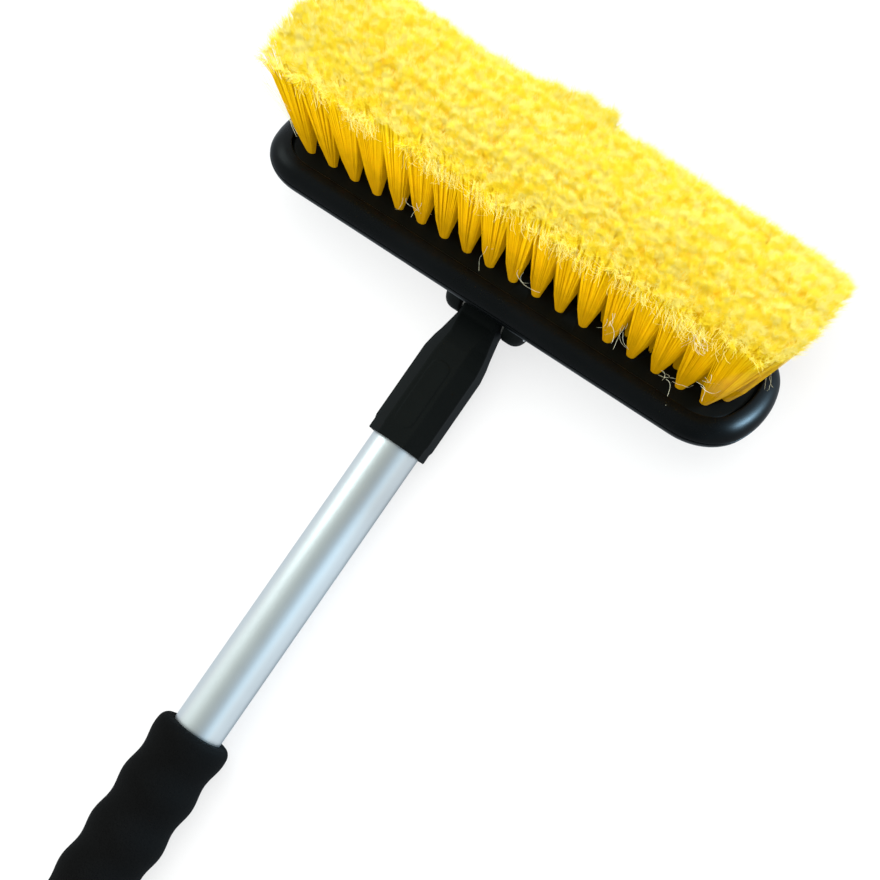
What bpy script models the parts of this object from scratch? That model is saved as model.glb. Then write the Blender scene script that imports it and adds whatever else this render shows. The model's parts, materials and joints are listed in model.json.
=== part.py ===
"""A telescopic wash brush: a hinged head with five rows of bristles on a twist-locked two-tube handle.

Metres, +Z up. The brush lies on its back as on a table: the handle runs level along +Y from grip to
head, the far side of the rubber bumper touches z = 0, and the bristles point forwards and up. Each
moving group hangs from an empty on its joint: telescope, lock_turn, shaft_turn and head_pivot.
"""

import math

import bmesh
import bpy
from mathutils import Euler, Vector

# Fits between pieces
SEAT_GAP = 0.0003
CUT_OVERRUN = 0.0020
FUSE_DEPTH = 0.0010

# Inner tube and outer tube
INNER_TUBE_RADIUS = 0.0110
INNER_TUBE_WALL = 0.0010
OUTER_TUBE_RADIUS = 0.0130
OUTER_TUBE_WALL = 0.0009
TUBE_EDGE_ROUND = 0.0003
VISIBLE_TUBE_LENGTH = 0.1420
HIDDEN_TUBE_LENGTH = 0.1200

# Foam grip, which covers the outer tube
GRIP_LENGTH = 0.3000
GRIP_CREST_RADIUS = 0.01695
GRIP_VALLEY_RADIUS = 0.0155
GRIP_WAVE_PITCH = 0.0220
GRIP_FIRST_CREST = 0.0070
GRIP_LIP_LENGTH = 0.0030
GRIP_END_ROUND = 0.0020
GRIP_LIP_GAP = 0.0006

# Guide bush in the outer tube's mouth
BUSH_WALL = 0.0006
BUSH_LENGTH = 0.0140
BUSH_FLANGE_THICKNESS = 0.0012
BUSH_RUNNING_GAP = 0.0002

# End cap with its hanging eye
CAP_SPIGOT_LENGTH = 0.0180
CAP_SPIGOT_BORE_RADIUS = 0.0080
CAP_FLANGE_RADIUS = 0.0150
CAP_FLANGE_LENGTH = 0.0060
CAP_EDGE_ROUND = 0.0015
TAB_WIDTH = 0.0200
TAB_LENGTH = 0.0200
TAB_THICKNESS = 0.0060
EYE_RADIUS = 0.0050

# Twist lock at the inner tube's lower end
PLUG_LENGTH = 0.0220
PLUG_FLANGE_LENGTH = 0.0025
JOURNAL_RADIUS = 0.0055
JOURNAL_LENGTH = 0.0150
JOURNAL_OFFSET = 0.0010
RING_BORE_GAP = 0.0005
RING_SLIT = 0.0020
LOCK_SCREW_HEAD_RADIUS = 0.0075
LOCK_SCREW_HEAD_HEIGHT = 0.0022
LOCK_SCREW_RADIUS = 0.0015
LOCK_SCREW_LENGTH = 0.0120

# Neck socket, from its mouth to the head's pivot
NECK_HALF_WIDTH = 0.0125
NECK_CORNER = 0.0050
NECK_COLLAR_STEP = 0.0003
NECK_COLLAR_LENGTH = 0.0050
NECK_BARREL_LENGTH = 0.0490
NECK_TAPER_LENGTH = 0.0120
NECK_TO_PIVOT = 0.0690
NECK_BORE_DEPTH = 0.0445
TONGUE_HALF_THICKNESS = 0.0080
TONGUE_CORNER = 0.0015
PANEL_HALF_WIDTH = 0.0062
PANEL_LENGTH = 0.0340
PANEL_HEIGHT = 0.0005
PANEL_CORNER = 0.0040
NECK_SCREW_RADIUS = 0.0016
NECK_SCREW_HEAD_RADIUS = 0.0034
NECK_SCREW_HEAD_HEIGHT = 0.0020
NECK_SCREW_LENGTH = 0.0050
NECK_SCREW_FROM_MOUTH = 0.0250

# Hinge between neck and head
EAR_GAP = 0.0210
EAR_THICKNESS = 0.0090
EAR_RADIUS = 0.0085
EAR_BASE_HALF_WIDTH = 0.0115
EAR_EDGE_ROUND = 0.0030
WASHER_THICKNESS = 0.0007
WASHER_RADIUS = 0.0065
BOLT_RADIUS = 0.0025
BOLT_HEAD_RADIUS = 0.0043
BOLT_HEAD_HEIGHT = 0.0030
BOLT_SOCKET_RADIUS = 0.0017
BOLT_SOCKET_DEPTH = 0.0018
NUT_RADIUS = 0.0046
NUT_HEIGHT = 0.0040

# Block and bumper: the head's middle plane lies above and beyond the pivot
HEAD_RISE = 0.0185
HEAD_SHIFT = 0.0142
BLOCK_LENGTH = 0.2350
BLOCK_WIDTH = 0.0670
BLOCK_CORNER_RADIUS = 0.0235
BLOCK_END_RADIUS = 0.0580
BUMPER_RADIUS = 0.0070
BUMPER_WIDTH = 0.0050
GROOVE_DEPTH = 0.0025
GROOVE_HALF_HEIGHT = 0.0014
FACE_HEIGHT = 0.0050
FACE_CHAMFER = 0.0008
BACK_EDGE_DEPTH = 0.0058
BACK_EDGE_ROUND = 0.0020
BACK_CROWN = 0.0020
BACK_CROWN_INSET = 0.0160

# Bristles: tufts in staggered rows, four strands to a tuft, each row on its own strip
ROW_COUNT = 5
SHORT_ROW_TUFTS = 18
END_TUFT_INSET = 0.0149
SIDE_TUFT_INSET = 0.0165
STRIP_SPACING = 0.0015
STRIP_THICKNESS = 0.0030
STRIP_END_MARGIN = 0.0040
TUFT_HALF_WIDTH = 0.0018
TUFT_HALF_SLIT = 0.0003
BRISTLE_LENGTH = 0.0525
SIDE_FLARE = 0.0170
END_FLARE = 0.0140
STRAND_TIP_WIDTH = 0.0040
TOP_WAVE_HEIGHT = 0.0012
TOP_WAVE_LENGTH = 0.0900

# Shares of the sizes above
SPREAD_SHARE = 0.25
CAP_DOME_SHARE = 0.6

# Counts of facets
WAVE_STEPS = 5
GRIP_SIDES = 20
TUBE_SIDES = 32
SMALL_SIDES = 16
CORNER_STEPS = 6
END_STEPS = 2
BUMPER_STEPS = 9
EAR_STEPS = 6
EAR_EDGE_STEPS = 3
NOSE_STEPS = 4
HEX_SIDES = 6
SHARP_ANGLE = math.radians(35)
NOSE_ANGLE = math.radians(72)

OUTER_BORE_RADIUS = OUTER_TUBE_RADIUS - OUTER_TUBE_WALL
INNER_BORE_RADIUS = INNER_TUBE_RADIUS - INNER_TUBE_WALL
TONGUE_HALF_WIDTH = EAR_GAP / 2 - WASHER_THICKNESS - 2 * SEAT_GAP
RING_RADIUS = OUTER_BORE_RADIUS - SEAT_GAP
LOCK_STATION = -HIDDEN_TUBE_LENGTH
PIVOT_STATION = VISIBLE_TUBE_LENGTH + NECK_TO_PIVOT
BLOCK_EDGE_INSET = BUMPER_WIDTH + SEAT_GAP
TUFT_PITCH = (BLOCK_LENGTH - 2 * END_TUFT_INSET) / SHORT_ROW_TUFTS
ROW_PITCH = (BLOCK_WIDTH - 2 * SIDE_TUFT_INSET) / (ROW_COUNT - 1)
STRIP_WIDTH = ROW_PITCH - STRIP_SPACING
FACE_LEVEL = HEAD_RISE + FACE_HEIGHT
BACK_LEVEL = HEAD_RISE - BACK_EDGE_DEPTH - BACK_CROWN


def clear_scene():
    for thing in list(bpy.data.objects):
        bpy.data.objects.remove(thing, do_unlink=True)


def make_material(name, colour, roughness, metallic=0.0):
    finish = bpy.data.materials.new(name)
    finish.use_nodes = True
    shader = finish.node_tree.nodes["Principled BSDF"]
    shader.inputs["Base Color"].default_value = (*colour, 1.0)
    shader.inputs["Roughness"].default_value = roughness
    shader.inputs["Metallic"].default_value = metallic
    return finish


def make_empty(name, parent=None, place=(0, 0, 0), tilt=0.0):
    empty = bpy.data.objects.new(name, None)
    bpy.context.collection.objects.link(empty)
    empty.parent = parent
    empty.location = place
    empty.rotation_euler = Euler((tilt, 0, 0))
    return empty


def make_object(name, shape, parent):
    """Turn a bmesh into an object under its parent, with its faces pointing out."""
    bmesh.ops.recalc_face_normals(shape, faces=shape.faces)
    mesh = bpy.data.meshes.new(name)
    shape.to_mesh(mesh)
    shape.free()
    thing = bpy.data.objects.new(name, mesh)
    bpy.context.collection.objects.link(thing)
    thing.parent = parent
    return thing


def make_part(name, shape, finish, parent):
    part = make_object(name, shape, parent)
    part.data.materials.append(finish)
    part.data.shade_smooth()
    part.data.set_sharp_from_angle(angle=SHARP_ANGLE)
    return part


def combine(part, shape, operation):
    """Cut a helper shape from the part, or fuse it on, with a live Boolean modifier."""
    helper = make_object(f"{part.name}_helper_{len(part.modifiers)}", shape, part.parent)
    helper.hide_render = True
    helper.display_type = "WIRE"
    step = part.modifiers.new(operation.lower(), "BOOLEAN")
    step.operation = operation
    step.object = helper


def skin(shape, rings, closed):
    """Join equal rings of vertices with quads; closed also joins the last ring to the first."""
    pairs = list(zip(rings, rings[1:]))
    if closed:
        pairs.append((rings[-1], rings[0]))
    for lower, upper in pairs:
        for i, corner in enumerate(lower):
            j = (i + 1) % len(lower)
            shape.faces.new((corner, lower[j], upper[j], upper[i]))


def loft(sections):
    """A solid through sections of equally many points, capped at both ends."""
    shape = bmesh.new()
    rings = [[shape.verts.new(point) for point in section] for section in sections]
    skin(shape, rings, closed=False)
    shape.faces.new(rings[0])
    shape.faces.new(rings[-1])
    return shape


def ring_loft(sections):
    """A ring-shaped solid: the sections follow one another round its tube."""
    shape = bmesh.new()
    skin(shape, [[shape.verts.new(point) for point in section] for section in sections], closed=True)
    return shape


def circle(radius, station, sides, centre=(0, 0)):
    """Points round the Y axis, or round a line beside it, with one point straight down."""
    angles = [2 * math.pi * i / sides for i in range(sides)]
    x, z = centre
    return [(x + radius * math.cos(a), station, z + radius * math.sin(a)) for a in angles]


def turned(profile, sides, centre=(0, 0)):
    """A solid of revolution about Y, from (station, radius) pairs along its outer side."""
    return loft([circle(radius, station, sides, centre) for station, radius in profile])


def turned_tube(profile, sides):
    """A hollow turning about Y, from (station, radius) pairs that go once round its wall."""
    return ring_loft([circle(radius, station, sides) for station, radius in profile])


def cross_cylinder(profile, sides):
    """A solid of revolution about X, from (x, radius) pairs."""
    def ring(x, radius):
        angles = [2 * math.pi * (i + 0.5) / sides for i in range(sides)]
        return [(x, radius * math.cos(a), radius * math.sin(a)) for a in angles]

    return loft([ring(x, radius) for x, radius in profile])


def plate(outline, low, high):
    """An outline in the XY plane, extruded from one height to another."""
    return loft([[(x, y, low) for x, y in outline], [(x, y, high) for x, y in outline]])


def rounded_rectangle(half_x, low_y, high_y, radius, steps=4):
    points = []
    corners = ((1, high_y, 0), (-1, high_y, 90), (-1, low_y, 180), (1, low_y, 270))
    for side, y, start in corners:
        centre_x = side * (half_x - radius)
        centre_y = y - radius if y == high_y else y + radius
        for k in range(steps + 1):
            a = math.radians(start + 90 * k / steps)
            points.append((centre_x + radius * math.cos(a), centre_y + radius * math.sin(a)))
    return points


def octagon(half_x, half_z, corner, station):
    x, z = half_x, half_z
    flat_x, flat_z = x - corner, z - corner
    points = ((x, -flat_z), (x, flat_z), (flat_x, z), (-flat_x, z))
    return [(px, station, pz) for px, pz in points] + [(-px, station, -pz) for px, pz in points]


def block_outline(inset):
    """The head's plan outline moved inwards: long straight sides, round corners and bowed ends."""
    half_length, half_width = BLOCK_LENGTH / 2, BLOCK_WIDTH / 2
    corner = min(BLOCK_CORNER_RADIUS, half_width)
    bow_x = half_length - BLOCK_END_RADIUS
    reach = BLOCK_END_RADIUS - corner
    rise = half_width - corner
    corner_x = bow_x + math.sqrt(reach ** 2 - rise ** 2)
    meet = math.atan2(rise, corner_x - bow_x)
    quarter = []
    for k in range(END_STEPS):
        a = meet * (k + 0.5) / END_STEPS
        radius = BLOCK_END_RADIUS - inset
        quarter.append((bow_x + radius * math.cos(a), radius * math.sin(a)))
    for k in range(CORNER_STEPS + 1):
        a = meet + (math.pi / 2 - meet) * k / CORNER_STEPS
        radius = corner - inset
        quarter.append((corner_x + radius * math.cos(a), rise + radius * math.sin(a)))
    half = quarter + [(-x, y) for x, y in reversed(quarter)]
    return half + [(-x, -y) for x, y in half]


def block_section(inset, height):
    return [(x, y + HEAD_SHIFT, HEAD_RISE + height) for x, y in block_outline(inset)]


def rest_tilt():
    """Head angle at which the bumper's far side touches the floor under the level handle."""
    across = HEAD_SHIFT + BLOCK_WIDTH / 2 - BUMPER_RADIUS
    reach = math.hypot(HEAD_RISE, across)
    bristle_angle = math.atan2(across, HEAD_RISE)
    bristle_angle += math.asin((BUMPER_RADIUS - GRIP_CREST_RADIUS) / reach)
    return bristle_angle - math.pi / 2


def make_outer_tube(finish, parent):
    front = -GRIP_LIP_LENGTH - BUSH_FLANGE_THICKNESS - 2 * SEAT_GAP
    back = -GRIP_LENGTH
    outer, bore, edge = OUTER_TUBE_RADIUS, OUTER_BORE_RADIUS, TUBE_EDGE_ROUND
    profile = [(back, bore), (back, outer - edge), (back + edge, outer), (front - edge, outer)]
    profile += [(front, outer - edge), (front, bore)]
    return make_part("outer_tube", turned_tube(profile, TUBE_SIDES), finish, parent)


def make_foam_grip(finish, parent):
    """Soft sleeve with rounded waves, a rounded lip at its mouth and a stepped bore."""
    bore = OUTER_TUBE_RADIUS + SEAT_GAP
    lip_bore = INNER_TUBE_RADIUS + GRIP_LIP_GAP
    middle = (GRIP_CREST_RADIUS + GRIP_VALLEY_RADIUS) / 2
    swing = (GRIP_CREST_RADIUS - GRIP_VALLEY_RADIUS) / 2

    def wave(depth):
        return middle + swing * math.cos(2 * math.pi * (depth - GRIP_FIRST_CREST) / GRIP_WAVE_PITCH)

    step = GRIP_WAVE_PITCH / WAVE_STEPS
    first, last = GRIP_END_ROUND, GRIP_LENGTH - GRIP_END_ROUND
    depths = [first]
    depth = GRIP_FIRST_CREST
    while depth < last - step / 2:
        depths.append(depth)
        depth += step
    depths.append(last)
    profile = [(0.0, lip_bore), (0.0, wave(first) - GRIP_END_ROUND)]
    profile += [(-depth, wave(depth)) for depth in depths]
    profile += [(-GRIP_LENGTH, wave(last) - GRIP_END_ROUND), (-GRIP_LENGTH, bore)]
    profile += [(-GRIP_LIP_LENGTH, bore), (-GRIP_LIP_LENGTH, lip_bore)]
    return make_part("foam_grip", turned_tube(profile, GRIP_SIDES), finish, parent)


def make_guide_bush(finish, parent):
    """Thin plastic sleeve in the outer tube's mouth; its flange sits on the tube's end."""
    front = -GRIP_LIP_LENGTH - SEAT_GAP
    back = front - BUSH_LENGTH
    bore = INNER_TUBE_RADIUS + BUSH_RUNNING_GAP
    sleeve = bore + BUSH_WALL
    shoulder = front - BUSH_FLANGE_THICKNESS
    profile = [(back, bore), (back, sleeve), (shoulder, sleeve), (shoulder, OUTER_TUBE_RADIUS)]
    profile += [(front, OUTER_TUBE_RADIUS), (front, bore)]
    return make_part("guide_bush", turned_tube(profile, TUBE_SIDES), finish, parent)


def make_end_cap(finish, parent):
    """Plug in the outer tube's end, a rounded flange and a flat tab with the hanging eye."""
    seat = -GRIP_LENGTH - SEAT_GAP
    end = seat - CAP_FLANGE_LENGTH
    spigot = OUTER_BORE_RADIUS - SEAT_GAP
    rim, edge = CAP_FLANGE_RADIUS, CAP_EDGE_ROUND
    profile = [(end, rim * CAP_DOME_SHARE), (end + edge, rim - edge), (end + 2 * edge, rim), (seat, rim)]
    profile += [(seat, spigot), (seat + CAP_SPIGOT_LENGTH - edge, spigot)]
    profile += [(seat + CAP_SPIGOT_LENGTH, spigot - edge)]
    cap = make_part("end_cap", turned(profile, TUBE_SIDES), finish, parent)
    hollow = [(seat + edge, CAP_SPIGOT_BORE_RADIUS)]
    hollow += [(seat + CAP_SPIGOT_LENGTH + CUT_OVERRUN, CAP_SPIGOT_BORE_RADIUS)]
    combine(cap, turned(hollow, SMALL_SIDES), "DIFFERENCE")
    half_width, half_thickness = TAB_WIDTH / 2, TAB_THICKNESS / 2
    eye_y = end - TAB_LENGTH + half_width
    steps = SMALL_SIDES // 2
    outline = [(half_width, end + FUSE_DEPTH), (-half_width, end + FUSE_DEPTH)]
    for k in range(steps + 1):
        a = math.pi + math.pi * k / steps
        outline.append((half_width * math.cos(a), eye_y + half_width * math.sin(a)))
    combine(cap, plate(outline, -half_thickness, half_thickness), "UNION")
    eye = []
    for k in range(SMALL_SIDES):
        a = 2 * math.pi * k / SMALL_SIDES
        eye.append((EYE_RADIUS * math.cos(a), eye_y + EYE_RADIUS * math.sin(a)))
    combine(cap, plate(eye, -half_thickness - CUT_OVERRUN, half_thickness + CUT_OVERRUN), "DIFFERENCE")
    return cap


def make_lock_ring(finish, parent):
    """Slit ring that jams between the eccentric journal and the outer tube when twisted."""
    back, front = -JOURNAL_LENGTH + SEAT_GAP, -SEAT_GAP
    ring = make_part(
        "lock_ring", turned([(back, RING_RADIUS), (front, RING_RADIUS)], TUBE_SIDES), finish, parent)
    bore = JOURNAL_RADIUS + RING_BORE_GAP
    hole = [(back - CUT_OVERRUN, bore), (front + CUT_OVERRUN, bore)]
    combine(ring, turned(hole, TUBE_SIDES, (0, JOURNAL_OFFSET)), "DIFFERENCE")
    slit = rounded_rectangle(RING_SLIT / 2, back - CUT_OVERRUN, front + CUT_OVERRUN, RING_SLIT / 4, 1)
    combine(ring, plate(slit, -RING_RADIUS - CUT_OVERRUN, 0), "DIFFERENCE")
    return ring


def make_lock_plug(finish, parent):
    """Plug pressed into the inner tube, with a flange and an eccentric journal below it."""
    top = PLUG_FLANGE_LENGTH + SEAT_GAP + PLUG_LENGTH
    body = INNER_BORE_RADIUS - SEAT_GAP
    flange = INNER_TUBE_RADIUS
    profile = [(0.0, flange), (PLUG_FLANGE_LENGTH, flange), (PLUG_FLANGE_LENGTH, body)]
    profile += [(top - TUBE_EDGE_ROUND, body), (top, body - TUBE_EDGE_ROUND)]
    plug = make_part("lock_plug", turned(profile, TUBE_SIDES), finish, parent)
    journal = [(-JOURNAL_LENGTH, JOURNAL_RADIUS), (FUSE_DEPTH, JOURNAL_RADIUS)]
    combine(plug, turned(journal, TUBE_SIDES, (0, JOURNAL_OFFSET)), "UNION")
    pilot = LOCK_SCREW_RADIUS + SEAT_GAP
    depth = LOCK_SCREW_LENGTH + SEAT_GAP
    hole = [(-JOURNAL_LENGTH - CUT_OVERRUN, pilot), (-JOURNAL_LENGTH + depth, pilot)]
    combine(plug, turned(hole, SMALL_SIDES, (0, JOURNAL_OFFSET)), "DIFFERENCE")
    return plug


def make_lock_screw(finish, parent):
    """Broad-headed screw that keeps the ring on the journal."""
    seat = -JOURNAL_LENGTH - SEAT_GAP
    low = seat - LOCK_SCREW_HEAD_HEIGHT
    edge = TUBE_EDGE_ROUND
    profile = [(low, LOCK_SCREW_HEAD_RADIUS - edge), (low + edge, LOCK_SCREW_HEAD_RADIUS)]
    profile += [(seat, LOCK_SCREW_HEAD_RADIUS), (seat, LOCK_SCREW_RADIUS)]
    profile += [(-JOURNAL_LENGTH + LOCK_SCREW_LENGTH - SEAT_GAP, LOCK_SCREW_RADIUS)]
    shape = turned(profile, SMALL_SIDES, (0, JOURNAL_OFFSET))
    return make_part("lock_screw", shape, finish, parent)


def make_inner_tube(finish, parent):
    """Aluminium tube from the twist lock up into the neck socket; its origin is at the lock."""
    back = PLUG_FLANGE_LENGTH + SEAT_GAP
    front = VISIBLE_TUBE_LENGTH + NECK_BORE_DEPTH - SEAT_GAP - LOCK_STATION
    outer, bore, edge = INNER_TUBE_RADIUS, INNER_BORE_RADIUS, TUBE_EDGE_ROUND
    profile = [(back, bore), (back, outer - edge), (back + edge, outer), (front - edge, outer)]
    profile += [(front, outer - edge), (front, bore)]
    tube = make_part("inner_tube", turned_tube(profile, TUBE_SIDES), finish, parent)
    station = VISIBLE_TUBE_LENGTH + NECK_SCREW_FROM_MOUTH - LOCK_STATION
    combine(tube, screw_hole(station), "DIFFERENCE")
    return tube


def screw_hole(station):
    """Hole for the neck screw, down through the underside of the socket and the tube."""
    radius = NECK_SCREW_RADIUS + SEAT_GAP
    return upright_cylinder(
        [(-NECK_HALF_WIDTH - CUT_OVERRUN, radius), (-INNER_BORE_RADIUS + CUT_OVERRUN, radius)], station)


def upright_cylinder(profile, station):
    """A solid of revolution about a vertical line at a station on Y, from (z, radius) pairs."""
    def ring(z, radius):
        angles = [2 * math.pi * i / SMALL_SIDES for i in range(SMALL_SIDES)]
        return [(radius * math.cos(a), station + radius * math.sin(a), z) for a in angles]

    return loft([ring(z, radius) for z, radius in profile])


def make_neck_socket(finish, parent):
    """Eight-sided socket that tapers to a round-ended tongue; its origin is at the pivot."""
    mouth = -NECK_TO_PIVOT
    barrel_end = mouth + NECK_BARREL_LENGTH
    taper_end = barrel_end + NECK_TAPER_LENGTH
    full, corner = NECK_HALF_WIDTH, NECK_CORNER
    collar, step = full - NECK_COLLAR_STEP, mouth + NECK_COLLAR_LENGTH
    thick = TONGUE_HALF_THICKNESS
    sections = [octagon(collar, collar, corner, mouth), octagon(collar, collar, corner, step)]
    sections += [octagon(full, full, corner, step + NECK_COLLAR_STEP)]
    sections += [octagon(full, full, corner, barrel_end)]
    sections += [octagon(TONGUE_HALF_WIDTH, thick, TONGUE_CORNER, taper_end)]
    for k in range(NOSE_STEPS):
        a = NOSE_ANGLE * k / (NOSE_STEPS - 1)
        half_z = thick * math.cos(a)
        edge = min(TONGUE_CORNER, half_z / 2)
        sections.append(octagon(TONGUE_HALF_WIDTH, half_z, edge, thick * math.sin(a)))
    socket = make_part("neck_socket", loft(sections), finish, parent)
    bore = INNER_TUBE_RADIUS + SEAT_GAP / 2
    hollow = turned([(mouth - CUT_OVERRUN, bore), (mouth + NECK_BORE_DEPTH, bore)], TUBE_SIDES)
    combine(socket, hollow, "DIFFERENCE")
    start = step + NECK_COLLAR_STEP + TONGUE_CORNER
    outline = rounded_rectangle(PANEL_HALF_WIDTH, start, start + PANEL_LENGTH, PANEL_CORNER)
    combine(socket, plate(outline, full - FUSE_DEPTH, full + PANEL_HEIGHT), "UNION")
    pin = BOLT_RADIUS + SEAT_GAP
    reach = TONGUE_HALF_WIDTH + CUT_OVERRUN
    combine(socket, cross_cylinder([(-reach, pin), (reach, pin)], SMALL_SIDES), "DIFFERENCE")
    combine(socket, screw_hole(mouth + NECK_SCREW_FROM_MOUTH), "DIFFERENCE")
    return socket


def make_neck_screw(finish, parent):
    """Screw on the underside that holds the socket on the inner tube."""
    seat = -NECK_HALF_WIDTH - SEAT_GAP
    low = seat - NECK_SCREW_HEAD_HEIGHT
    head, edge = NECK_SCREW_HEAD_RADIUS, NECK_SCREW_HEAD_HEIGHT / 2
    profile = [(low, head - edge), (low + edge, head), (seat, head), (seat, NECK_SCREW_RADIUS)]
    profile += [(seat + NECK_SCREW_LENGTH, NECK_SCREW_RADIUS)]
    shape = upright_cylinder(profile, NECK_SCREW_FROM_MOUTH - NECK_TO_PIVOT)
    return make_part("neck_screw", shape, finish, parent)


def ear_profile():
    """Side view of a hinge ear: round below the pivot, flaring into the back of the block."""
    root = BACK_LEVEL + BACK_CROWN + FUSE_DEPTH
    flank = []
    for k in range(EAR_STEPS + 1):
        a = math.pi / 2 * k / EAR_STEPS
        flank.append((EAR_RADIUS + (EAR_BASE_HALF_WIDTH - EAR_RADIUS) * (1 - math.cos(a)), root * math.sin(a)))
    nose = []
    for k in range(1, 2 * EAR_STEPS):
        a = -math.pi * k / (2 * EAR_STEPS)
        nose.append((EAR_RADIUS * math.cos(a), EAR_RADIUS * math.sin(a)))
    return flank[::-1] + nose + [(-y, z) for y, z in flank]


def make_ear(side):
    """One hinge ear, rounded where its outer face meets its edge."""
    outer = EAR_GAP / 2 + EAR_THICKNESS
    profile = ear_profile()
    sections = [(EAR_GAP / 2, profile)]
    for k in range(EAR_EDGE_STEPS + 1):
        a = math.pi / 2 * k / EAR_EDGE_STEPS
        kept = 1 - EAR_EDGE_ROUND / EAR_RADIUS * (1 - math.cos(a))
        shrunk = [(y * kept, z * kept if z < 0 else z) for y, z in profile]
        sections.append((outer - EAR_EDGE_ROUND * (1 - math.sin(a)), shrunk))
    return loft([[(side * x, y, z) for y, z in points] for x, points in sections])


def make_brush_block(finish, parent):
    """Moulded block: bumper groove round its edge, crowned back, two ears and five strip slots."""
    edge, groove = BLOCK_EDGE_INSET, BLOCK_EDGE_INSET + GROOVE_DEPTH
    half = GROOVE_HALF_HEIGHT
    profile = [(edge + FACE_CHAMFER, FACE_HEIGHT), (edge, FACE_HEIGHT - FACE_CHAMFER), (edge, half)]
    profile += [(groove, half), (groove, -half), (edge, -half)]
    profile += [(edge, -BACK_EDGE_DEPTH + BACK_EDGE_ROUND), (edge + BACK_EDGE_ROUND, -BACK_EDGE_DEPTH)]
    profile += [(edge + BACK_CROWN_INSET, -BACK_EDGE_DEPTH - BACK_CROWN)]
    shape = loft([block_section(inset, height) for inset, height in profile])
    block = make_part("brush_block", shape, finish, parent)
    for side in (-1, 1):
        combine(block, make_ear(side), "UNION")
    outer = EAR_GAP / 2 + EAR_THICKNESS
    pin = BOLT_RADIUS + SEAT_GAP
    bolt_bore = [(-outer - CUT_OVERRUN, pin), (outer - BOLT_HEAD_HEIGHT - SEAT_GAP, pin)]
    bolt_bore += [(outer - BOLT_HEAD_HEIGHT - SEAT_GAP, BOLT_HEAD_RADIUS + SEAT_GAP)]
    bolt_bore += [(outer + CUT_OVERRUN, BOLT_HEAD_RADIUS + SEAT_GAP)]
    combine(block, cross_cylinder(bolt_bore, SMALL_SIDES), "DIFFERENCE")
    trap = NUT_RADIUS + SEAT_GAP
    nut_trap = [(-outer - CUT_OVERRUN, trap), (-outer + NUT_HEIGHT + SEAT_GAP, trap)]
    combine(block, cross_cylinder(nut_trap, HEX_SIDES), "DIFFERENCE")
    for row in range(ROW_COUNT):
        half_length = strip_half_length(row) + SEAT_GAP
        centre_y = row_place(row) + HEAD_SHIFT
        half_width = STRIP_WIDTH / 2 + SEAT_GAP
        outline = [(half_length, centre_y - half_width), (half_length, centre_y + half_width)]
        outline += [(-x, 2 * centre_y - y) for x, y in outline]
        floor = FACE_LEVEL - STRIP_THICKNESS - SEAT_GAP
        combine(block, plate(outline, floor, FACE_LEVEL + CUT_OVERRUN), "DIFFERENCE")
    return block


def make_bumper(finish, parent):
    """Rubber ring round the block: a rounded outer side and a rib that sits in the groove."""
    span = math.acos((BUMPER_RADIUS - BUMPER_WIDTH) / BUMPER_RADIUS)
    profile = []
    for k in range(BUMPER_STEPS + 1):
        a = span - 2 * span * k / BUMPER_STEPS
        profile.append((BUMPER_RADIUS * (1 - math.cos(a)), BUMPER_RADIUS * math.sin(a)))
    rib = BUMPER_WIDTH + GROOVE_DEPTH
    half = GROOVE_HALF_HEIGHT - SEAT_GAP
    profile += [(BUMPER_WIDTH, -half), (rib, -half), (rib, half), (BUMPER_WIDTH, half)]
    shape = ring_loft([block_section(inset, height) for inset, height in profile])
    return make_part("bumper", shape, finish, parent)


def make_pivot_bolt(finish, parent):
    outer = EAR_GAP / 2 + EAR_THICKNESS
    seat = outer - BOLT_HEAD_HEIGHT
    profile = [(-outer + SEAT_GAP, BOLT_RADIUS), (seat, BOLT_RADIUS), (seat, BOLT_HEAD_RADIUS)]
    profile += [(outer - SEAT_GAP, BOLT_HEAD_RADIUS)]
    bolt = make_part("pivot_bolt", cross_cylinder(profile, SMALL_SIDES), finish, parent)
    key = [(outer - SEAT_GAP - BOLT_SOCKET_DEPTH, BOLT_SOCKET_RADIUS), (outer + CUT_OVERRUN, BOLT_SOCKET_RADIUS)]
    combine(bolt, cross_cylinder(key, HEX_SIDES), "DIFFERENCE")
    return bolt


def make_pivot_nut(finish, parent):
    outer = EAR_GAP / 2 + EAR_THICKNESS
    low, high = -outer, -outer + NUT_HEIGHT
    body = cross_cylinder([(low, NUT_RADIUS), (high, NUT_RADIUS)], HEX_SIDES)
    nut = make_part("pivot_nut", body, finish, parent)
    bore = BOLT_RADIUS + SEAT_GAP
    hole = [(low - CUT_OVERRUN, bore), (high + CUT_OVERRUN, bore)]
    combine(nut, cross_cylinder(hole, SMALL_SIDES), "DIFFERENCE")
    return nut


def make_washer(name, side, finish, parent):
    inner = TONGUE_HALF_WIDTH + SEAT_GAP
    bore = BOLT_RADIUS + SEAT_GAP
    angles = [2 * math.pi * i / TUBE_SIDES for i in range(TUBE_SIDES)]
    sections = []
    for x, radius in ((0, bore), (0, WASHER_RADIUS), (WASHER_THICKNESS, WASHER_RADIUS), (WASHER_THICKNESS, bore)):
        place = side * (inner + x)
        sections.append([(place, radius * math.cos(a), radius * math.sin(a)) for a in angles])
    return make_part(name, ring_loft(sections), finish, parent)


def row_place(row):
    """Distance of a row of tufts from the head's long centre line."""
    return (row - (ROW_COUNT - 1) / 2) * ROW_PITCH


def tuft_places(row):
    """Centres of the tufts along a row; every second row has one more and is staggered."""
    count = SHORT_ROW_TUFTS + row % 2
    return [(i - (count - 1) / 2) * TUFT_PITCH for i in range(count)]


def strip_half_length(row):
    return tuft_places(row)[-1] + STRIP_END_MARGIN


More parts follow.
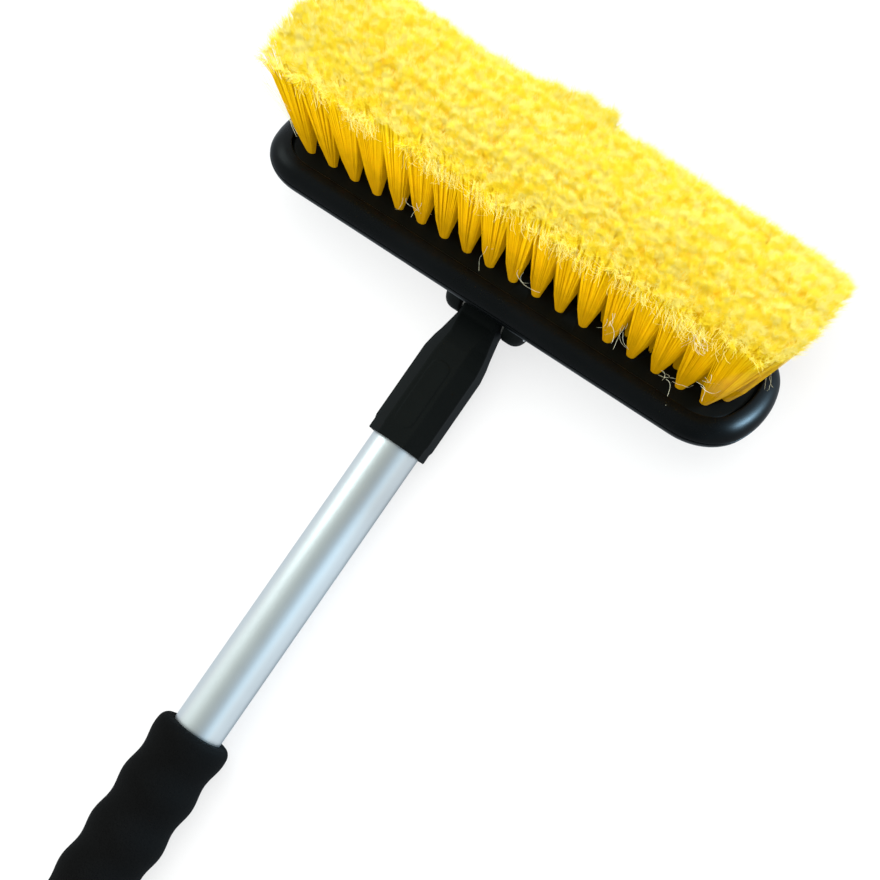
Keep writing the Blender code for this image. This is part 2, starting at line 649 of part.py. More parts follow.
def flared_tip(x, y):
    """Where a strand from (x, y) on the block ends: leaning out towards the sides and the ends."""
    end_share = x / tuft_places(0)[-1]
    side_share = y / row_place(ROW_COUNT - 1)
    wave = TOP_WAVE_HEIGHT * math.cos(2 * math.pi * x / TOP_WAVE_LENGTH + row_phase(y))
    lean_x = END_FLARE * end_share * abs(end_share)
    lean_y = SIDE_FLARE * side_share
    lean = (lean_x / BRISTLE_LENGTH) ** 2 + (lean_y / BRISTLE_LENGTH) ** 2
    height = BRISTLE_LENGTH * math.sqrt(1 - lean) + wave
    return Vector((x + lean_x, y + lean_y, height))


def row_phase(y):
    return math.pi * round(y / ROW_PITCH)


def make_bristle_row(row, finish, parent):
    """A strip with its tufts: four square strands rise from each and spread towards their tips."""
    shape = bmesh.new()
    centre_y = row_place(row)
    half_length, half_width = strip_half_length(row), STRIP_WIDTH / 2
    offsets = (-TUFT_HALF_WIDTH, -TUFT_HALF_SLIT, TUFT_HALF_SLIT, TUFT_HALF_WIDTH)
    columns = [x + offset for x in tuft_places(row) for offset in offsets]
    base = Vector((0, HEAD_SHIFT, FACE_LEVEL))
    grid = [[shape.verts.new(base + Vector((x, centre_y + y, 0))) for x in columns] for y in offsets]
    ends = [[shape.verts.new(base + Vector((side * half_length, centre_y + y, 0))) for side in (-1, 1)]
            for y in (-half_width, half_width)]
    for j, (lower, upper) in enumerate(zip(grid, grid[1:])):
        for i in range(len(columns) - 1):
            face = (lower[i], lower[i + 1], upper[i + 1], upper[i])
            if i % 2 == 0 and j % 2 == 0:
                raise_strand(shape, face, tuft_places(row)[i // 4], centre_y, base)
            else:
                shape.faces.new(face)
    left = [line[0] for line in grid]
    right = [line[-1] for line in grid]
    shape.faces.new([ends[0][0], ends[0][1]] + grid[0][::-1])
    shape.faces.new([ends[1][1], ends[1][0]] + grid[-1])
    shape.faces.new([ends[1][0], ends[0][0]] + left)
    shape.faces.new([ends[0][1], ends[1][1]] + right[::-1])
    rim = (ends[0][0], ends[0][1], ends[1][1], ends[1][0])
    foot = [shape.verts.new(corner.co - Vector((0, 0, STRIP_THICKNESS))) for corner in rim]
    for i in range(4):
        shape.faces.new((rim[i], rim[(i + 1) % 4], foot[(i + 1) % 4], foot[i]))
    shape.faces.new(foot)
    return make_part(f"bristle_row_{row + 1}", shape, finish, parent)


def raise_strand(shape, root, tuft_x, tuft_y, base):
    """One strand: its foot is a face of the strip, its tip is wider and further from the tuft."""
    middle = sum((corner.co for corner in root), Vector()) / 4 - base
    side_x = math.copysign(1, middle.x - tuft_x)
    side_y = math.copysign(1, middle.y - tuft_y)
    target = flared_tip(tuft_x + side_x * SPREAD_SHARE * TUFT_PITCH, tuft_y + side_y * SPREAD_SHARE * ROW_PITCH)
    half_tip = STRAND_TIP_WIDTH / 2
    tip = []
    for corner in root:
        away = corner.co - base - middle
        sway = Vector((math.copysign(half_tip, away.x), math.copysign(half_tip, away.y), 0))
        tip.append(shape.verts.new(base + target + sway))
    for i in range(4):
        j = (i + 1) % 4
        shape.faces.new((root[i], root[j], tip[j], tip[i]))
    shape.faces.new(tip)


def centre_over_origin(root, parts):
    """Slide the whole brush along the handle until its box is centred over the origin."""
    bpy.context.view_layer.update()
    reach = [(part.matrix_world @ corner.co).y for part in parts for corner in part.data.vertices]
    root.location.y -= (min(reach) + max(reach)) / 2
    bpy.context.view_layer.update()


def build():
    clear_scene()
    aluminium = make_material("anodised_aluminium", (0.62, 0.66, 0.67), 0.34, 1.0)
    foam = make_material("black_foam", (0.012, 0.012, 0.013), 0.92)
    plastic = make_material("black_plastic", (0.010, 0.012, 0.014), 0.42)
    rubber = make_material("black_rubber", (0.011, 0.013, 0.016), 0.30)
    nylon = make_material("grey_nylon", (0.30, 0.30, 0.29), 0.50)
    steel = make_material("zinc_steel", (0.50, 0.50, 0.49), 0.35, 1.0)
    bristle = make_material("yellow_bristle", (0.90, 0.55, 0.02), 0.55)

    handle = make_empty("handle", place=(0, 0, GRIP_CREST_RADIUS))
    telescope = make_empty("telescope", handle, (0, LOCK_STATION, 0))
    lock_turn = make_empty("lock_turn", telescope)
    shaft_turn = make_empty("shaft_turn", telescope)
    neck = make_empty("neck", shaft_turn, (0, PIVOT_STATION - LOCK_STATION, 0))
    head = make_empty("head_pivot", neck, tilt=rest_tilt())

    parts = [
        make_outer_tube(aluminium, handle),
        make_foam_grip(foam, handle),
        make_guide_bush(plastic, handle),
        make_end_cap(plastic, handle),
        make_lock_ring(nylon, lock_turn),
        make_lock_plug(plastic, shaft_turn),
        make_lock_screw(steel, shaft_turn),
        make_inner_tube(aluminium, shaft_turn),
        make_neck_socket(plastic, neck),
        make_neck_screw(steel, neck),
        make_brush_block(plastic, head),
        make_bumper(rubber, head),
        make_pivot_bolt(steel, head),
        make_pivot_nut(steel, head),
        make_washer("washer_left", -1, nylon, head),
        make_washer("washer_right", 1, nylon, head),
    ]
    parts += [make_bristle_row(row, bristle, head) for row in range(ROW_COUNT)]
    centre_over_origin(handle, parts + [helper for helper in bpy.data.objects if helper.hide_render])
    for joint in (handle, telescope, neck, head):
        print(joint.name, [round(value, 6) for value in joint.matrix_world.translation])
    print("head tilt in degrees", round(math.degrees(rest_tilt()), 4))


build()
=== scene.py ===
# %% [markdown]
# # A telescopic wash brush
# The brush lies on its back on a pale floor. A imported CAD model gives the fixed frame: which pieces
# there are, where they sit and how they move. This script dresses that frame. It makes the shapes
# and finishes that the eye sees, and hangs each one on the body that carries it.

# %% Load the frame
import json
import math

import bmesh
import bpy
import numpy as np
from mathutils import Matrix, Vector


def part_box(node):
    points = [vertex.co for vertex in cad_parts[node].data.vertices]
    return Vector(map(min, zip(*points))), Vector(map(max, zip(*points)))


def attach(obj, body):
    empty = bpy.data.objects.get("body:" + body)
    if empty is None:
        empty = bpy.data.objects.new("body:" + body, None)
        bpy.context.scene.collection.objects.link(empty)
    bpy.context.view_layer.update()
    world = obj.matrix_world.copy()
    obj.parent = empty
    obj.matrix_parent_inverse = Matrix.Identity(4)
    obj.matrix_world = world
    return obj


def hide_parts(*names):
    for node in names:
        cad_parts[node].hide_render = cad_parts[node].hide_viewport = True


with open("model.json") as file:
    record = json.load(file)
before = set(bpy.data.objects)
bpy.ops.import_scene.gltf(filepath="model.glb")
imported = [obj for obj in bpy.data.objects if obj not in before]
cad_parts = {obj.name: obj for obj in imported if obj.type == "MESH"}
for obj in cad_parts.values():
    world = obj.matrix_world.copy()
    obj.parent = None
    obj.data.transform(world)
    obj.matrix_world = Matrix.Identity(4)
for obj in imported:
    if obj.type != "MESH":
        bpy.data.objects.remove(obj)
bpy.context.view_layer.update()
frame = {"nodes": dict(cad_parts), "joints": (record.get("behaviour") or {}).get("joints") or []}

# %% [markdown]
# Every place comes from the frame. The handle's axis runs along Y through the head's pivot. The head
# has its own axes: x along the block, y across it to the far side, z the way the bristles point.
# The bumper is flat and evenly built, so the thinnest of its principal axes is the head's z.

# %% Find the handle's and the head's axes
PLACE_DIGITS = 6
MM = 1000

joints = {joint["name"]: joint for joint in frame["joints"]}
pivot = Vector(joints["head_pivot"]["pos_m"])


def node_points(name):
    """The different corners of a CAD node, as rows of x, y and z."""
    corners = np.array([vertex.co for vertex in frame["nodes"][name].data.vertices])
    return np.unique(np.round(corners, PLACE_DIGITS), axis=0)


def turned(degrees, axis):
    """A turn about one axis. Turned pieces are made along z and laid down with it."""
    return Matrix.Rotation(math.radians(degrees), 4, axis)


bumper_points = node_points("bumper")
spread = np.cov((bumper_points - bumper_points.mean(axis=0)).T)
head_z = Vector(np.linalg.eigh(spread)[1][:, 0])
if head_z.z < 0:
    head_z.negate()
head_x = Vector((1.0, 0.0, 0.0))
head_y = head_z.cross(head_x).normalized()
turn = np.array([head_x, head_y, head_z])
inside = bumper_points @ turn.T
head_middle = Vector((inside.min(axis=0) + inside.max(axis=0)) / 2 @ turn)
ALONG = turned(-90, "X")
HEAD = Matrix.Translation(head_middle) @ Matrix(turn.tolist()).transposed().to_4x4()
HANDLE = Matrix.Translation((0, 0, pivot.z)) @ ALONG
NECK = Matrix.Translation(pivot)
HINGE = HEAD.to_3x3().to_4x4()
HINGE.translation = pivot
pivot_in_head = HEAD.inverted() @ pivot
print("pivot", tuple(round(value, PLACE_DIGITS) for value in pivot))
print("pivot in the head's axes", tuple(round(value, PLACE_DIGITS) for value in pivot_in_head))


# %% [markdown]
# Node trees are easier to read as sums than as wiring. A `Wire` stands for an output socket, and
# Python's operators on it add the maths nodes. `Graph.add` makes any other node: first its settings,
# then the values or wires of its sockets. Surfaces and geometry trees both use it.

# %% Node graphs as Python expressions
def operator(operation, reflected=False):
    """A method for one Python operator, or for its form with the wire on the right."""
    def method(wire, other):
        sides = (other, wire) if reflected else (wire, other)
        return wire.sum_node(operation, *sides)
    return method


class Wire:
    def __init__(self, graph, node, output):
        self.graph, self.node = graph, node
        self.socket = node.outputs[output]

    def also(self, output):
        """Another output of the same node."""
        return Wire(self.graph, self.node, output)

    def sum_node(self, operation, left, right):
        sides = [side for side in (left, right) if isinstance(side, Wire)]
        vector = any(side.socket.type == "VECTOR" for side in sides)
        kind = "ShaderNodeVectorMath" if vector else "ShaderNodeMath"
        return self.graph.add(kind, {"operation": operation}, {0: left, 1: right})

    __add__, __radd__ = operator("ADD"), operator("ADD", True)
    __sub__, __rsub__ = operator("SUBTRACT"), operator("SUBTRACT", True)
    __mul__, __rmul__ = operator("MULTIPLY"), operator("MULTIPLY", True)
    __truediv__, __rtruediv__ = operator("DIVIDE"), operator("DIVIDE", True)
    __pow__, __rpow__ = operator("POWER"), operator("POWER", True)

    def __abs__(self):
        return self.graph.add("ShaderNodeMath", {"operation": "ABSOLUTE"}, {0: self})

    def root(self):
        return self.graph.add("ShaderNodeMath", {"operation": "SQRT"}, {0: self})

    def steps(self, low, high):
        """A smooth rise from 0 to 1 while this one goes from low to high."""
        sockets = {"Value": self, "From Min": low, "From Max": high}
        return self.graph.add("ShaderNodeMapRange", {"interpolation_type": "SMOOTHSTEP"}, sockets)


class Graph:
    def __init__(self, tree):
        self.tree = tree

    def add(self, kind, settings=None, sockets=None, output=0):
        node = self.tree.nodes.new(kind)
        for name, value in (settings or {}).items():
            if name == "stops":
                set_stops(node.color_ramp, value)
            else:
                setattr(node, name, value)
        for key, value in (sockets or {}).items():
            self.plug(node.inputs[key], value)
        return Wire(self, node, output) if len(node.outputs) else node

    def plug(self, socket, value):
        if isinstance(value, Wire):
            self.tree.links.new(value.socket, socket)
        elif socket.type == "VECTOR" and isinstance(value, (int, float)):
            socket.default_value = (value, value, value)
        else:
            socket.default_value = value

    def mix(self, share, first, second):
        """A colour between two colours."""
        return self.add("ShaderNodeMix", {"data_type": "RGBA"}, {0: share, 6: first, 7: second}, 2)


def set_stops(ramp, stops):
    for place, colour in stops[len(ramp.elements):]:
        ramp.elements.new(place)
    for element, (place, colour) in zip(ramp.elements, stops):
        element.position = place
        element.color = colour


class Finish(Graph):
    """A material with one Principled shader, whose sockets are set by name."""

    def __init__(self, name, colour):
        self.material = bpy.data.materials.new(name)
        self.material.use_nodes = True
        self.material.diffuse_color = colour
        super().__init__(self.material.node_tree)
        self.shader = self.tree.nodes["Principled BSDF"]
        self.place = self.add("ShaderNodeTexCoord", output="Object")
        print("finish", name)

    def set(self, **sockets):
        for name, value in sockets.items():
            self.plug(self.shader.inputs[name.replace("_", " ")], value)

    def noise(self, scale, detail=2.0, place=None):
        sockets = {"Vector": place or self.place, "Scale": scale, "Detail": detail}
        return self.add("ShaderNodeTexNoise", {}, sockets)

    def bump(self, height, strength, distance):
        sockets = {"Height": height, "Strength": strength, "Distance": distance}
        self.set(Normal=self.add("ShaderNodeBump", {}, sockets))


def shade(red, green, blue):
    return (red, green, blue, 1.0)


# %% [markdown]
# ## Finishes
# The plain finishes share one recipe: a fine grain that shows as tiny bumps and slight changes of
# gloss, and a wide cloud that shifts the colour a little. One function holds it, and each material
# gives its sizes and colours. Noise scales are the number of grains in a metre.
#
# The tube is drawn aluminium with a satin anodised skin. Its look is in its reflections: long soft
# bands of light. Drawing leaves hair lines that run the length of the tube, so its grain is nearly
# two hundred times longer along Y than across it.


# %% One recipe, and satin aluminium
def grained_finish(name, colour, grain, cloud, rough, tones, bump,
                   metal=0.0, gloss=0.5, stretch=None, patches=None):
    """Grain and cloud are a scale and a detail. rough is a base, and what grain and cloud add."""
    finish = Finish(name, shade(*colour))
    place = finish.place
    if stretch:
        place = finish.add("ShaderNodeMapping", {}, {"Vector": place, "Scale": stretch})
    fine, wide = finish.noise(*grain, place), finish.noise(*cloud)
    base, by_grain, by_cloud = rough
    worn = wide.steps(*patches) if patches else wide
    finish.set(Metallic=metal, Specular_IOR_Level=gloss)
    finish.set(Roughness=base + fine * by_grain + worn * by_cloud)
    finish.set(Base_Color=finish.mix(wide, shade(*tones[0]), shade(*tones[1])))
    finish.bump(fine, *bump)
    return finish.material


aluminium = grained_finish(
    "satin_aluminium", (0.80, 0.82, 0.82), grain=(1.0, 3.0), cloud=(60.0, 2.0), rough=(0.30, 0.08, 0.05),
    tones=((0.79, 0.81, 0.81), (0.85, 0.87, 0.87)), bump=(0.12, 0.00002), metal=1.0,
    stretch=(4200.0, 22.0, 4200.0))

# %% [markdown]
# The neck, the block and the cap are black moulded plastic. A mould is spark-eroded, so the skin has
# a fine even grain and the slightly cloudy gloss of a thick wall. The bumper is rubber: smoother, a
# little bluer, and dulled in patches where it was handled.

# %% Moulded plastic and rubber
plastic = grained_finish(
    "moulded_black_plastic", (0.004, 0.005, 0.005), grain=(2600.0, 2.0), cloud=(55.0, 3.0),
    rough=(0.42, 0.08, 0.10), tones=((0.0024, 0.0032, 0.0030), (0.0038, 0.0048, 0.0045)),
    bump=(0.25, 0.00005), gloss=0.05)
rubber = grained_finish(
    "black_rubber", (0.003, 0.004, 0.005), grain=(1500.0, 2.0), cloud=(38.0, 3.0),
    rough=(0.24, 0.05, 0.10), tones=((0.0010, 0.0014, 0.0016), (0.0020, 0.0026, 0.0030)),
    bump=(0.10, 0.00005), gloss=0.08, patches=(0.35, 0.70))

# %% [markdown]
# The grip is closed-cell foam: dull, charcoal rather than pure black, and pricked all over with tiny
# cut cells. Cell noise makes the pores, and they are painted a little darker than the skin between
# them, as shade inside the cells.

# %% Foam
PORE_SCALE = 1500.0
PORE_EDGE = (0.12, 0.48)
PORE_SHARE = 0.6
# Painted shade inside the pores.
PORE_SHADE = shade(0.0012, 0.0012, 0.0012)
FUZZ = (3800.0, 3.0)
WEAR = (45.0, 4.0)
FOAM_COLOURS = (shade(0.0017, 0.0017, 0.0017), shade(0.0030, 0.0030, 0.0030))
FOAM_ROUGH = (0.74, 0.15)
FOAM_GLOSS = 0.07
FOAM_BUMP = (0.6, 0.00012)


def make_foam():
    finish = Finish("black_foam", shade(0.005, 0.005, 0.005))
    cells = {"Vector": finish.place, "Scale": PORE_SCALE}
    pores = finish.add("ShaderNodeTexVoronoi", {"feature": "F1"}, cells).steps(*PORE_EDGE)
    fuzz, wear = finish.noise(*FUZZ), finish.noise(*WEAR)
    finish.set(Base_Color=finish.mix(pores, PORE_SHADE, finish.mix(wear, *FOAM_COLOURS)))
    finish.set(Roughness=FOAM_ROUGH[0] + fuzz * FOAM_ROUGH[1], Specular_IOR_Level=FOAM_GLOSS)
    finish.bump(pores * PORE_SHARE + fuzz * (1 - PORE_SHARE), *FOAM_BUMP)
    return finish.material


foam = make_foam()

# %% [markdown]
# Screws are zinc-plated steel and the washers and the lock ring are grey nylon. They are small or
# hidden, but a carried-over solid with a flat grey colour would still look unfinished from below.

# %% Zinc and nylon
zinc = grained_finish(
    "zinc_plated_steel", (0.55, 0.55, 0.53), grain=(900.0, 4.0), cloud=(160.0, 2.0),
    rough=(0.26, 0.16, 0.0), tones=((0.50, 0.50, 0.47), (0.66, 0.67, 0.68)),
    bump=(0.12, 0.00003), metal=1.0)
nylon = grained_finish(
    "grey_nylon", (0.15, 0.15, 0.14), grain=(240.0, 3.0), cloud=(240.0, 3.0),
    rough=(0.42, 0.12, 0.0), tones=((0.13, 0.13, 0.12), (0.18, 0.18, 0.17)), bump=(0.10, 0.00005))

# %% [markdown]
# A flagged bristle is a yellow plastic fibre whose end is split into fine hairs. Light and shade are
# painted into its colour. It is painted deep amber low in the tuft, as the shade where light only
# reaches it through its neighbours. It is pale at the tip, partly from the whiter split hairs and
# partly as a painted highlight where the split end catches the lamp. Each point knows how far along
# its fibre it is, the fibre carries a random tint, and its place in its lock of fibres tells high
# ends from low ones, which get painted shade in gold and orange.
#
# Real fibres are translucent, and light that went in elsewhere leaves them everywhere. Following it
# through a million hairs would take hours, so a faint even glow in the fibre's own colour stands for
# it. The strays have two plain finishes: hairs that were shed are bleached, wisps are fresh lemon.

# %% Bristles
# Along a fibre the ramp paints shade and light on its yellow: dark amber at the root in the tuft's shade, up
# to a pale lit tip.
FIBRE_COLOURS_AND_SHADE = [(0.0, shade(0.50, 0.24, 0.001)), (0.20, shade(0.62, 0.32, 0.001)),
                 (0.48, shade(1.0, 0.57, 0.002)), (0.76, shade(1.0, 0.66, 0.004)),
                 (0.90, shade(1.0, 0.79, 0.022)), (1.0, shade(1.0, 0.89, 0.090))]
PATCH_SCALE = 230.0
PATCH_SHIFT = 0.20
TOP = (0.82, 0.96)
AMBER = shade(0.95, 0.42, 0.001)
AMBER_SHARE = 0.30
AMBER_FADE = 0.6
# Painted shade: tips that stand low in their lock are painted golden, and in the pits orange, where their
# neighbours shade them.
GOLD_SHADE = shade(1.0, 0.74, 0.020)
GOLD_SHADE_SHARE = 0.40
GOLD_SHADE_LEVELS = (0.15, 0.75)
PIT_SHADE = shade(1.0, 0.50, 0.006)
PIT_SHADE_SHARE = 0.9
PIT_SHADE_LEVELS = (0.05, 0.60)
PIT_SHADE_PATCHES = (0.44, 0.60)
# Pale tips: partly the whiter split hairs, partly a painted highlight on the ends that catch the lamp.
PALE_HAIR_AND_HIGHLIGHT = shade(1.0, 0.97, 0.38)
PALE_SHARE = 0.85
PALE_LEAST = 0.35
PALE_TOP = (0.84, 1.0)
PALE_TINTS = (0.3, 1.0)
PALE_PATCHES = (0.42, 0.62)
GLOW_BELOW = shade(0.55, 0.34, 0.0)
GLOW_TOP = shade(1.0, 0.60, 0.01)
GLOW_STRENGTH = 0.20
FIBRE_ROUGH = 0.60
FIBRE_GLOSS = 0.03
HAIR_GLOSS = 0.05
HAIR_PATCH_SCALE = 300.0


def make_bristle_finish():
    finish = Finish("yellow_bristle", shade(0.95, 0.70, 0.05))
    along, tint, level = [finish.add("ShaderNodeAttribute", {"attribute_name": name}, output="Fac")
                          for name in ("along", "tint", "level")]
    patch = finish.noise(PATCH_SCALE)
    top = along.steps(*TOP)
    stop = along + (patch - 0.5) * PATCH_SHIFT
    colour = finish.add("ShaderNodeValToRGB", {"stops": FIBRE_COLOURS_AND_SHADE}, {"Fac": stop})
    amber = (1 - tint) * AMBER_SHARE * (1 - along * AMBER_FADE)
    gold_shade = (1 - level.steps(*GOLD_SHADE_LEVELS)) * top * GOLD_SHADE_SHARE
    pit_shade = (1 - level.steps(*PIT_SHADE_LEVELS)) * top * (1 - patch.steps(*PIT_SHADE_PATCHES)) * PIT_SHADE_SHARE
    pale_and_highlight = along.steps(*PALE_TOP) * (PALE_LEAST + tint.steps(*PALE_TINTS) * (1 - PALE_LEAST))
    pale_and_highlight = pale_and_highlight * patch.steps(*PALE_PATCHES) * PALE_SHARE
    for share, tone in ((amber, AMBER), (gold_shade, GOLD_SHADE), (pit_shade, PIT_SHADE), (pale_and_highlight, PALE_HAIR_AND_HIGHLIGHT)):
        colour = finish.mix(share, colour, tone)
    finish.set(Base_Color=colour, Roughness=FIBRE_ROUGH, Specular_IOR_Level=FIBRE_GLOSS)
    finish.set(Emission_Color=finish.mix(top, GLOW_BELOW, GLOW_TOP), Emission_Strength=GLOW_STRENGTH)
    return finish.material


def make_hair_finish(name, dull, bright):
    finish = Finish(name, bright)
    finish.set(Base_Color=finish.mix(finish.noise(HAIR_PATCH_SCALE), dull, bright))
    finish.set(Roughness=FIBRE_ROUGH, Specular_IOR_Level=HAIR_GLOSS)
    return finish.material


bristle = make_bristle_finish()
shed_hair = make_hair_finish("shed_hair", shade(0.74, 0.76, 0.52), shade(0.88, 0.90, 0.74))
flagged_end = make_hair_finish("flagged_end", shade(0.98, 0.92, 0.20), shade(1.0, 0.97, 0.40))


# %% [markdown]
# ## Shapes
# Most of the brush is turned or swept: a section goes round an axis or along an outline. So one
# helper skins a row of equal rings, a second rounds the corners of any polygon, a third turns a
# profile. Rounded edges matter most: on black plastic only they catch the light.

# %% Mesh helpers
SHARP = math.radians(38)
MERGE_DISTANCE = 1e-7
ROUND_STEPS = 5
SCENE = bpy.context.scene.collection


def put(name, data):
    """A new object for a mesh, a lamp or a camera, linked to the scene."""
    thing = bpy.data.objects.new(name, data)
    SCENE.objects.link(thing)
    return thing


def clean(mesh):
    """Merge doubles and point the faces of a closed mesh outwards."""
    shape = bmesh.new()
    shape.from_mesh(mesh)
    bmesh.ops.remove_doubles(shape, verts=shape.verts, dist=MERGE_DISTANCE)
    bmesh.ops.recalc_face_normals(shape, faces=shape.faces)
    shape.to_mesh(mesh)
    shape.free()
    mesh.shade_smooth()
    mesh.set_sharp_from_angle(angle=SHARP)


def solid(name, points, faces, place=Matrix()):
    mesh = bpy.data.meshes.new(name)
    mesh.from_pydata(points, [], faces)
    mesh.transform(place)
    clean(mesh)
    return put(name, mesh)


def ring_faces(first, sides, count, joined=False):
    """The faces over a run of equal rings: joined end to end, or capped at both ends."""
    starts = [first + i * sides for i in range(count)]
    faces = []
    for a, b in zip(starts, starts[1:] + starts[:1] if joined else starts[1:]):
        faces += [(a + j, a + (j + 1) % sides, b + (j + 1) % sides, b + j) for j in range(sides)]
    if not joined:
        faces += [tuple(range(a, a + sides)) for a in (starts[0], starts[-1])]
    return faces


def skin(name, rings, joined=False, place=Matrix()):
    """A closed piece through equal rings of points."""
    points = [tuple(point) for ring in rings for point in ring]
    return solid(name, points, ring_faces(0, len(rings[0]), len(rings), joined), place)


def circle(radius, sides):
    angles = [2 * math.pi * k / sides for k in range(sides)]
    return [(radius * math.cos(a), radius * math.sin(a)) for a in angles]


def lathe(name, profile, sides, place, hollow=False):
    """Turn (station, radius) pairs about the local z axis; a hollow profile goes once round its wall."""
    rings = [[(x, y, z) for x, y in circle(radius, sides)] for z, radius in profile]
    return skin(name, rings, hollow, place)


def rounded(points, radius, steps=ROUND_STEPS, closed=True):
    """A polygon with arcs for corners. radius is one size, or one for each corner with 0 to keep it."""
    sizes = radius if isinstance(radius, (list, tuple)) else [radius] * len(points)
    corners = [np.array(point, float) for point in points]
    result = []
    for i, (corner, size) in enumerate(zip(corners, sizes)):
        if size == 0 or (not closed and i in (0, len(corners) - 1)):
            result.append(tuple(corner))
            continue
        before = corners[i - 1] - corner
        after = corners[(i + 1) % len(corners)] - corner
        before /= np.linalg.norm(before)
        after /= np.linalg.norm(after)
        half = math.acos(np.clip(before @ after, -1, 1)) / 2
        middle = (before + after) / np.linalg.norm(before + after)
        centre = corner + middle * size / math.sin(half)
        start = corner + before * size / math.tan(half) - centre
        end = corner + after * size / math.tan(half) - centre
        first = math.atan2(start[1], start[0])
        sweep = (math.atan2(end[1], end[0]) - first + math.pi) % (2 * math.pi) - math.pi
        for k in range(steps + 1):
            angle = first + sweep * k / steps
            result.append((centre[0] + size * math.cos(angle), centre[1] + size * math.sin(angle)))
    return result


def combine(piece, other, operation):
    """Fuse another closed piece on, or cut it away, and keep the result as a plain mesh."""
    step = piece.modifiers.new("combine", "BOOLEAN")
    step.operation = operation
    step.solver = "EXACT"
    step.object = other
    evaluated = piece.evaluated_get(bpy.context.evaluated_depsgraph_get())
    result = bpy.data.meshes.new_from_object(evaluated)
    piece.modifiers.clear()
    piece.data = result
    bpy.data.objects.remove(other)
    clean(piece.data)


def dress(piece, body, material, slot, *nodes):
    """Give a piece its finish, hang it on its body and let it stand for its CAD nodes."""
    piece.data.materials.clear()
    piece.data.materials.append(material)
    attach(piece, body)
    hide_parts(*nodes)
    piece.data.calc_loop_triangles()
    print(piece.name, len(piece.data.loop_triangles), "triangles")


# %% [markdown]
# ## The tubes and the grip
# The inner tube is the bright one. It is a plain turned ring: the only care it needs is enough sides
# for a smooth reflection, and a broken edge at each end where the saw left a burr to take off.

# %% Inner tube
TUBE_SIDES = 96
TUBE_WALL = 0.0010
TUBE_BREAK = 0.0003
BREAK_STEPS = 3

tube_low, tube_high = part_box("inner_tube")
tube_radius = (tube_high.x - tube_low.x) / 2
tube_bore = tube_radius - TUBE_WALL
tube_wall = [(tube_low.y, tube_radius), (tube_high.y, tube_radius)]
tube_wall += [(tube_high.y, tube_bore), (tube_low.y, tube_bore)]
tube_wall = rounded(tube_wall, [TUBE_BREAK, TUBE_BREAK, 0, 0], BREAK_STEPS)
inner_tube = lathe("inner_tube_drawn", tube_wall, TUBE_SIDES, HANDLE, hollow=True)
print("tube", round(2 * tube_radius * MM, 2), "mm across")

# %% [markdown]
# The foam sleeve is turned too, but its outside is a wave, so that the fingers find their place. The
# waves of real foam are never quite even, so the radius also drifts a little with smooth noise. Foam
# only ever gives inwards here: the crests are what the brush lies on.

# %% Foam grip
GRIP_SIDES = 112
GRIP_STEP = 0.0011
GRIP_VALLEY = 0.0155
GRIP_PITCH = 0.0220
GRIP_FIRST_CREST = 0.0058
GRIP_LIP = 0.0030
GRIP_SHOULDER = 0.0030
GRIP_SHOULDER_DROP = 0.0021
GRIP_SHOULDER_DEPTHS = (0.0, 0.0003, 0.0008, 0.0015, 0.0022)
GRIP_DRIFT = 0.00016
DRIFT_ALONG = (95.0, 61.0)
DRIFT_ROUND = (2.0, -3.0)
DRIFT_START = 1.3
SEAT_GAP = 0.0003

grip_low, grip_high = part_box("foam_grip")
grip_crest = (grip_high.x - grip_low.x) / 2
sleeve_bore = (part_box("outer_tube")[1].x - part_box("outer_tube")[0].x) / 2 + SEAT_GAP
grip_length = grip_high.y - grip_low.y


def grip_radius(depth):
    """The waved outside, drawn in over the last few millimetres at each end."""
    phase = 2 * math.pi * (depth - GRIP_FIRST_CREST) / GRIP_PITCH
    wave = (grip_crest + GRIP_VALLEY) / 2 + (grip_crest - GRIP_VALLEY) / 2 * math.cos(phase)
    end = min(depth, grip_length - depth)
    if end < GRIP_SHOULDER:
        wave -= GRIP_SHOULDER_DROP * (1 - math.sqrt(1 - (1 - end / GRIP_SHOULDER) ** 2))
    return wave


def make_grip():
    count = round(grip_length / GRIP_STEP)
    step = (grip_length - 2 * GRIP_SHOULDER) / count
    depths = list(GRIP_SHOULDER_DEPTHS) + [GRIP_SHOULDER + step * i for i in range(count + 1)]
    depths += [grip_length - depth for depth in reversed(GRIP_SHOULDER_DEPTHS)]
    profile = [(grip_high.y - depth, grip_radius(depth)) for depth in depths]
    lip, lip_bore = grip_high.y - GRIP_LIP, tube_radius + SEAT_GAP
    profile += [(grip_low.y, sleeve_bore), (lip, sleeve_bore), (lip, lip_bore), (grip_high.y, lip_bore)]
    grip = lathe("foam_grip_sleeve", profile, GRIP_SIDES, HANDLE, hollow=True)
    for vertex in grip.data.vertices:
        x, y, z = vertex.co.x, vertex.co.y, vertex.co.z - pivot.z
        radius = math.hypot(x, z)
        if radius > sleeve_bore + TUBE_BREAK:
            swirl = math.sin(DRIFT_ALONG[0] * y + DRIFT_ROUND[0] * x / radius)
            swirl += math.sin(DRIFT_ALONG[1] * y + DRIFT_ROUND[1] * z / radius + DRIFT_START)
            kept = 1 - GRIP_DRIFT * (1 + swirl / 2) / radius
            vertex.co.x = x * kept
            vertex.co.z = z * kept + pivot.z
    return grip


foam_grip = make_grip()
dress(foam_grip, "handle", foam, "black_foam", "foam_grip")

# %% [markdown]
# ## The neck
# The neck is a square socket with broken corners that narrows to a flat tongue. It could be carved
# from a block, but it is quicker as a row of eight-sided sections whose width, depth and corner
# follow the distance from the pivot. The raised panel on its face is a small rise of the top points.

